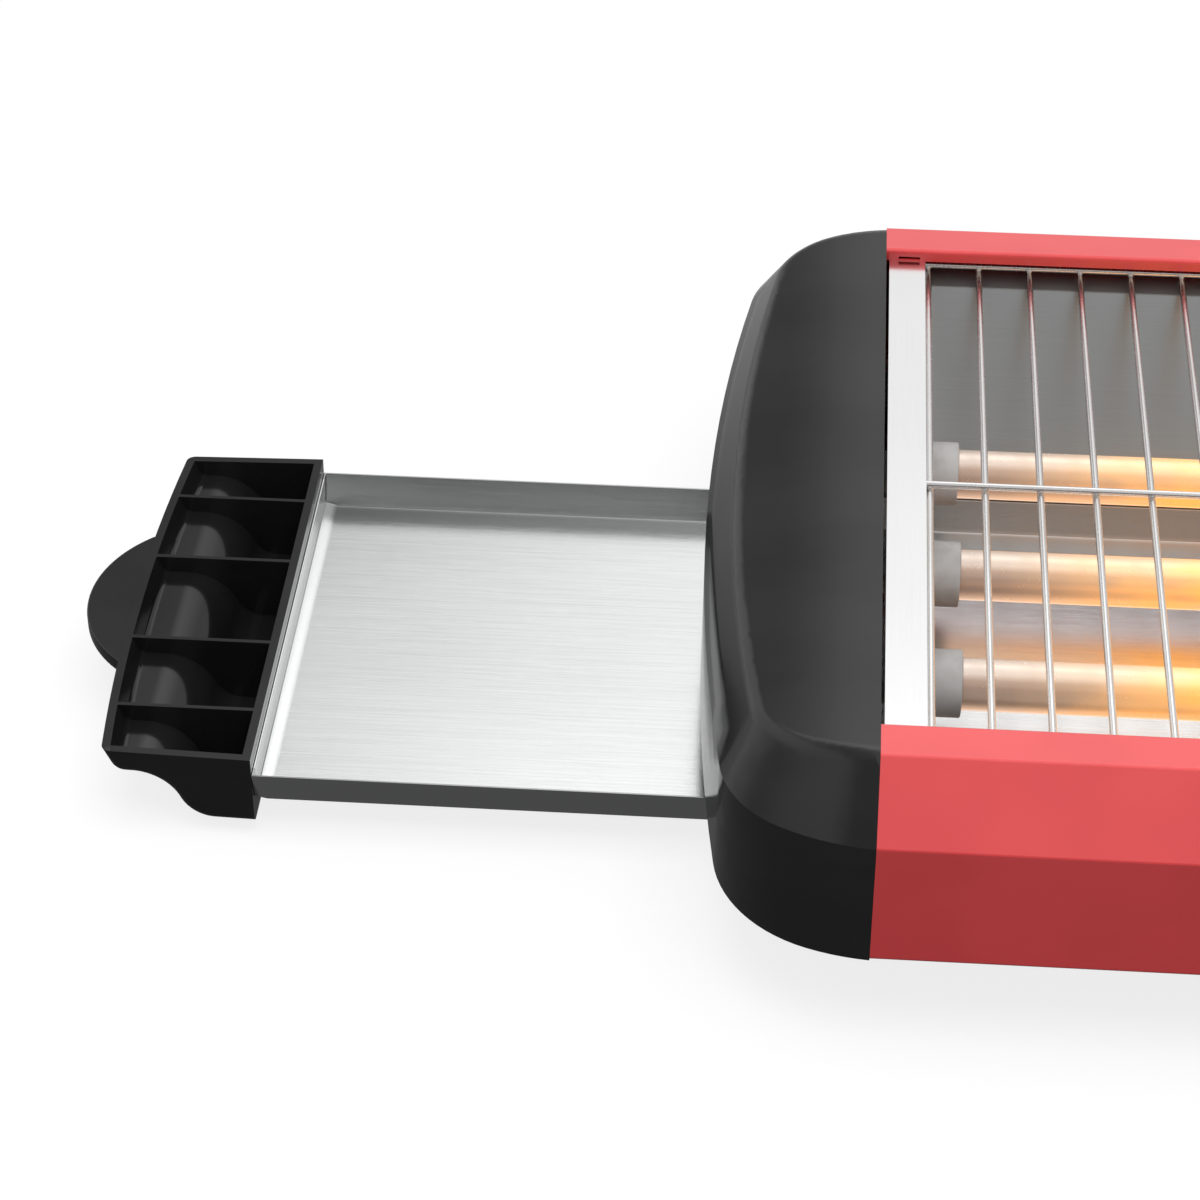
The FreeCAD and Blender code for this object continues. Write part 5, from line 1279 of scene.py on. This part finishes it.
@dataclass
class Screws:
    """Pan-head screws with a cross recess, in rows.

    Args:
        finishes: The toaster's finishes.
        head: Head radius.
        tall: Head height.
        shank: Shank radius.
        slot: Width of the recess.
        reach: Length of the recess as a share of the head's radius.
        sunk: Depth of the recess as a share of the head's height.
        domed: Share of the head's height that narrows to its crown.
        crown: Radius of the crown as a share of the head's.
    """

    finishes: Finishes
    head: float = 2.9 * MM
    tall: float = 1.6 * MM
    shank: float = 1.5 * MM
    slot: float = 0.75 * MM
    reach: float = 1.1
    sunk: float = 0.55
    domed: float = 0.45
    crown: float = 0.72

    def build(self) -> None:
        """Replace the screws that can be seen and finish the hidden ones."""
        for node in ("shell_screws", "leg_screws", "left_cover_screws", "right_cover_screws"):
            self.row(node)
        keep(["left_cap_screws", "right_cap_screws", "control_screws", "left_terminal_nuts",
              "right_terminal_nuts", "thermal_cutout"], self.finishes.screw)
        keep(["left_bus_bar", "outer_bus_bar", "middle_terminal"], self.finishes.brass)

    def heads(self, node: str) -> list[Vector]:
        """The lowest point on each screw's axis, read from the node.

        Args:
            node: The node of the row.

        Returns:
            One place for each screw.
        """
        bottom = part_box(node)[0].z
        level = 0.02 * MM
        across = 2.2 * self.head
        groups: list[list[Vector]] = []
        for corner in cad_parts[node].data.vertices:
            if abs(corner.co.z - bottom) > level:
                continue
            for group in groups:
                if (group[0].xy - corner.co.xy).length < across:
                    group.append(corner.co.copy())
                    break
            else:
                groups.append([corner.co.copy()])
        places = []
        for group in groups:
            xs = [spot.x for spot in group]
            ys = [spot.y for spot in group]
            places.append(Vector(((min(xs) + max(xs)) / 2, (min(ys) + max(ys)) / 2, bottom)))
        return places

    def row(self, node: str) -> None:
        """Make one row of screws that point up.

        Args:
            node: The node of the row.
        """
        low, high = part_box(node)
        base = points(node + "_dressed", self.heads(node))
        pattern = Pattern(node + " row")
        head = pattern.size("Head Radius", self.head)
        shank = pattern.size("Shank Radius", self.shank)
        tall = pattern.size("Head Height", self.tall)
        length = pattern.size("Shank Length", high.z - low.z - self.tall)
        slot = pattern.size("Recess Width", self.slot)
        dome_height = pattern.times(tall, self.domed)
        rim_height = pattern.times(tall, 1.0 - self.domed)
        dome = pattern.node("MeshCone", Vertices=32, Radius_Top=head,
                            Radius_Bottom=pattern.times(head, self.crown), Depth=dome_height)
        rim_middle = pattern.plus(dome_height, pattern.times(rim_height, 0.5))
        rim = pattern.moved(pattern.cylinder(32, head, rim_height), Translation=pattern.vector(z=rim_middle))
        stem_middle = pattern.plus(tall, pattern.times(length, 0.5))
        stem = pattern.moved(pattern.cylinder(20, shank, length), Translation=pattern.vector(z=stem_middle))
        long_side = pattern.times(head, self.reach)
        depth = pattern.times(tall, 2 * self.sunk)
        bars = [pattern.node("MeshCube", Size=pattern.vector(x, y, depth))
                for x, y in ((long_side, slot), (slot, long_side))]
        whole = pattern.node("MeshBoolean", settings={"operation": "UNION"}, Mesh_2=[dome, rim])
        cut = pattern.node("MeshBoolean", settings={"operation": "DIFFERENCE"}, Mesh_1=whole, Mesh_2=bars)
        copies = pattern.copies(pattern.given, pattern.join(cut, stem))
        piece = pattern.bake(base, copies, self.finishes.screw)
        shade(piece, FINE_CREASE)
        settle(piece, Body.CASING, self.finishes.screw, [node])


@dataclass
class Feet:
    """Moulded legs on rubber pads, and the cord inlet.

    Args:
        finishes: The toaster's finishes.
    """

    finishes: Finishes

    def build(self) -> None:
        """Dress the legs, the pads and the inlet."""
        looks = self.finishes
        for corner in ("left_front", "left_back", "right_front", "right_back"):
            dress("leg_" + corner, looks.cover, soft=0.4, steps=3)
            dress("foot_pad_" + corner, looks.rubber, soft=0.2)
        dress("cord_inlet", looks.rubber, soft=0.35, steps=3)


# Studio


@dataclass
class Studio:
    """Pale floor, one soft lamp, a light room and the photograph's camera.

    Args:
        eye: The camera's place.
        look: How far its view turns down and to the left, in degrees.
        lens: Focal length in millimetres.
        sensor: Sensor width in millimetres.
        backdrop: How light the background is.
        ambient: How light the room is on matt surfaces.
        floor_tone: How light the floor is for the lamp, and so how dark the shadow can get.
        floor_glow: What the floor adds to that in the camera's view.
        floor_half: Half the floor's side.
        lamp_place: Where the lamp hangs. It points at the origin.
        lamp_size: Its side.
        lamp_power: Its power in watts.
    """

    eye: Triple = (-0.09505, -0.6040, 0.4835)
    look: tuple[float, float] = (37.1, 4.2)
    lens: float = 101.7
    sensor: float = 36.0
    backdrop: float = 1.0
    ambient: float = 0.64
    floor_tone: float = 0.20
    floor_glow: float = 0.81
    floor_half: float = 6.0
    lamp_place: Triple = (0.0, -0.32, 1.32)
    lamp_size: float = 1.0
    lamp_power: float = 12.5

    def build(self) -> None:
        """Set up everything that isn't the toaster."""
        bpy.context.scene.view_settings.view_transform = "Standard"
        self.camera()
        self.floor()
        self.world()
        self.lamp()

    def camera(self) -> None:
        """Stand the camera where the photograph was taken."""
        data = bpy.data.cameras.new("photo camera")
        data.lens = self.lens
        data.sensor_width = self.sensor
        data.clip_start = 0.01
        camera = new_piece("photo camera", data)
        down, turn = (math.radians(part) for part in self.look)
        ahead = Vector((-math.sin(turn) * math.cos(down), math.cos(turn) * math.cos(down), -math.sin(down)))
        right = Vector((math.cos(turn), math.sin(turn), 0.0))
        upward = right.cross(ahead)
        turned = Matrix((right, upward, -ahead)).transposed()
        camera.matrix_world = Matrix.Translation(self.eye) @ turned.to_4x4()
        bpy.context.scene.camera = camera

    def floor(self) -> None:
        """Lay a pale floor that keeps the toaster's shadow and can be seen through from below."""
        form = bmesh.new()
        bmesh.ops.create_grid(form, x_segments=1, y_segments=1, size=self.floor_half)
        floor = from_bmesh("studio_floor", form)
        shader = Shader("pale_floor")
        seen, glossy, through = (shader.value("LightPath", output="Is %s Ray" % kind)
                                 for kind in ("Camera", "Glossy", "Transmission"))
        depth = shader.axis("Y")
        # Painted shade and light: in mirrors the floor glows dim below the toaster and lighter in front of
        # it and behind it
        level = 0.11 + depth.ramp(-60.0, -320.0) * 0.10 + depth.ramp(-40.0, 300.0) * 0.40
        matt = shader.value("BsdfDiffuse", Color=(self.floor_tone,) * 3)
        white = shader.value("Emission", Strength=seen * self.floor_glow)
        mirrored = shader.value("Emission", Strength=level)
        plain = shader.value("AddShader", matt, white)
        upper = shader.value("MixShader", (glossy + through).clamped(), plain, mirrored)
        under = shader.value("NewGeometry", output="Backfacing")
        surface = shader.value("MixShader", under, upper, shader.value("BsdfTransparent"))
        floor.data.materials.append(shader.finish(surface))

    def world(self) -> None:
        """Surround the toaster with a light room, brightest behind it."""
        room = Shader("studio room", bpy.data.worlds.new("studio room"))
        bpy.context.scene.world = room.block
        way = room.value("TexCoord", output="Generated")
        side, depth, height = (room.value("SeparateXYZ", way, output=letter) for letter in "XYZ")
        # Each step runs between two values of the view's direction, whose X, Y and Z lie in -1 to 1
        to_right = side.ramp(0.18, 0.42)
        band = height.ramp(0.58, 0.74) * (1.0 - height.ramp(0.84, 0.97)) * (1.0 - to_right)
        behind = (0.38 + side.ramp(-0.22, 0.01) * 0.66 - to_right * 0.30
                  + side.ramp(-0.34, -0.52) * 0.62 + band * (1.0 - side.ramp(-0.22, -0.45)))
        gap = side.ramp(-0.42, -0.25) * (1.0 - side.ramp(-0.08, 0.0))
        before = 0.10 + height.ramp(0.28, 0.58) * 0.70 - gap * height.ramp(0.3, 0.6) * 0.58
        turned = depth.ramp(-0.45, 0.45)
        mirrored = before * (1.0 - turned) + behind * turned
        seen, diffuse = (room.value("LightPath", output="Is %s Ray" % kind)
                         for kind in ("Camera", "Diffuse"))
        rest = (1.0 - seen) * (1.0 - diffuse)
        strength = seen * self.backdrop + diffuse * self.ambient + rest * mirrored
        room.finish(room.value("Background", Strength=strength))

    def lamp(self) -> None:
        """Hang the soft lamp, which no bright surface mirrors."""
        data = bpy.data.lights.new("overhead softbox", "AREA")
        data.shape = "SQUARE"
        data.size = self.lamp_size
        data.energy = self.lamp_power
        lamp = new_piece("overhead softbox", data)
        lamp.visible_glossy = False
        aim = (-Vector(self.lamp_place)).to_track_quat("-Z", "Y")
        lamp.matrix_world = Matrix.Translation(self.lamp_place) @ aim.to_matrix().to_4x4()


def main() -> None:
    """Build every sub-assembly."""
    logging.basicConfig(level=logging.INFO, format="%(message)s")
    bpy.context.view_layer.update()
    finishes = Finishes()
    Studio().build()
    for assembly in (Casing, WireRack, QuartzHeaters, CrumbTray, Controls, Screws, Feet):
        assembly(finishes).build()


if __name__ == "__main__":
    main()
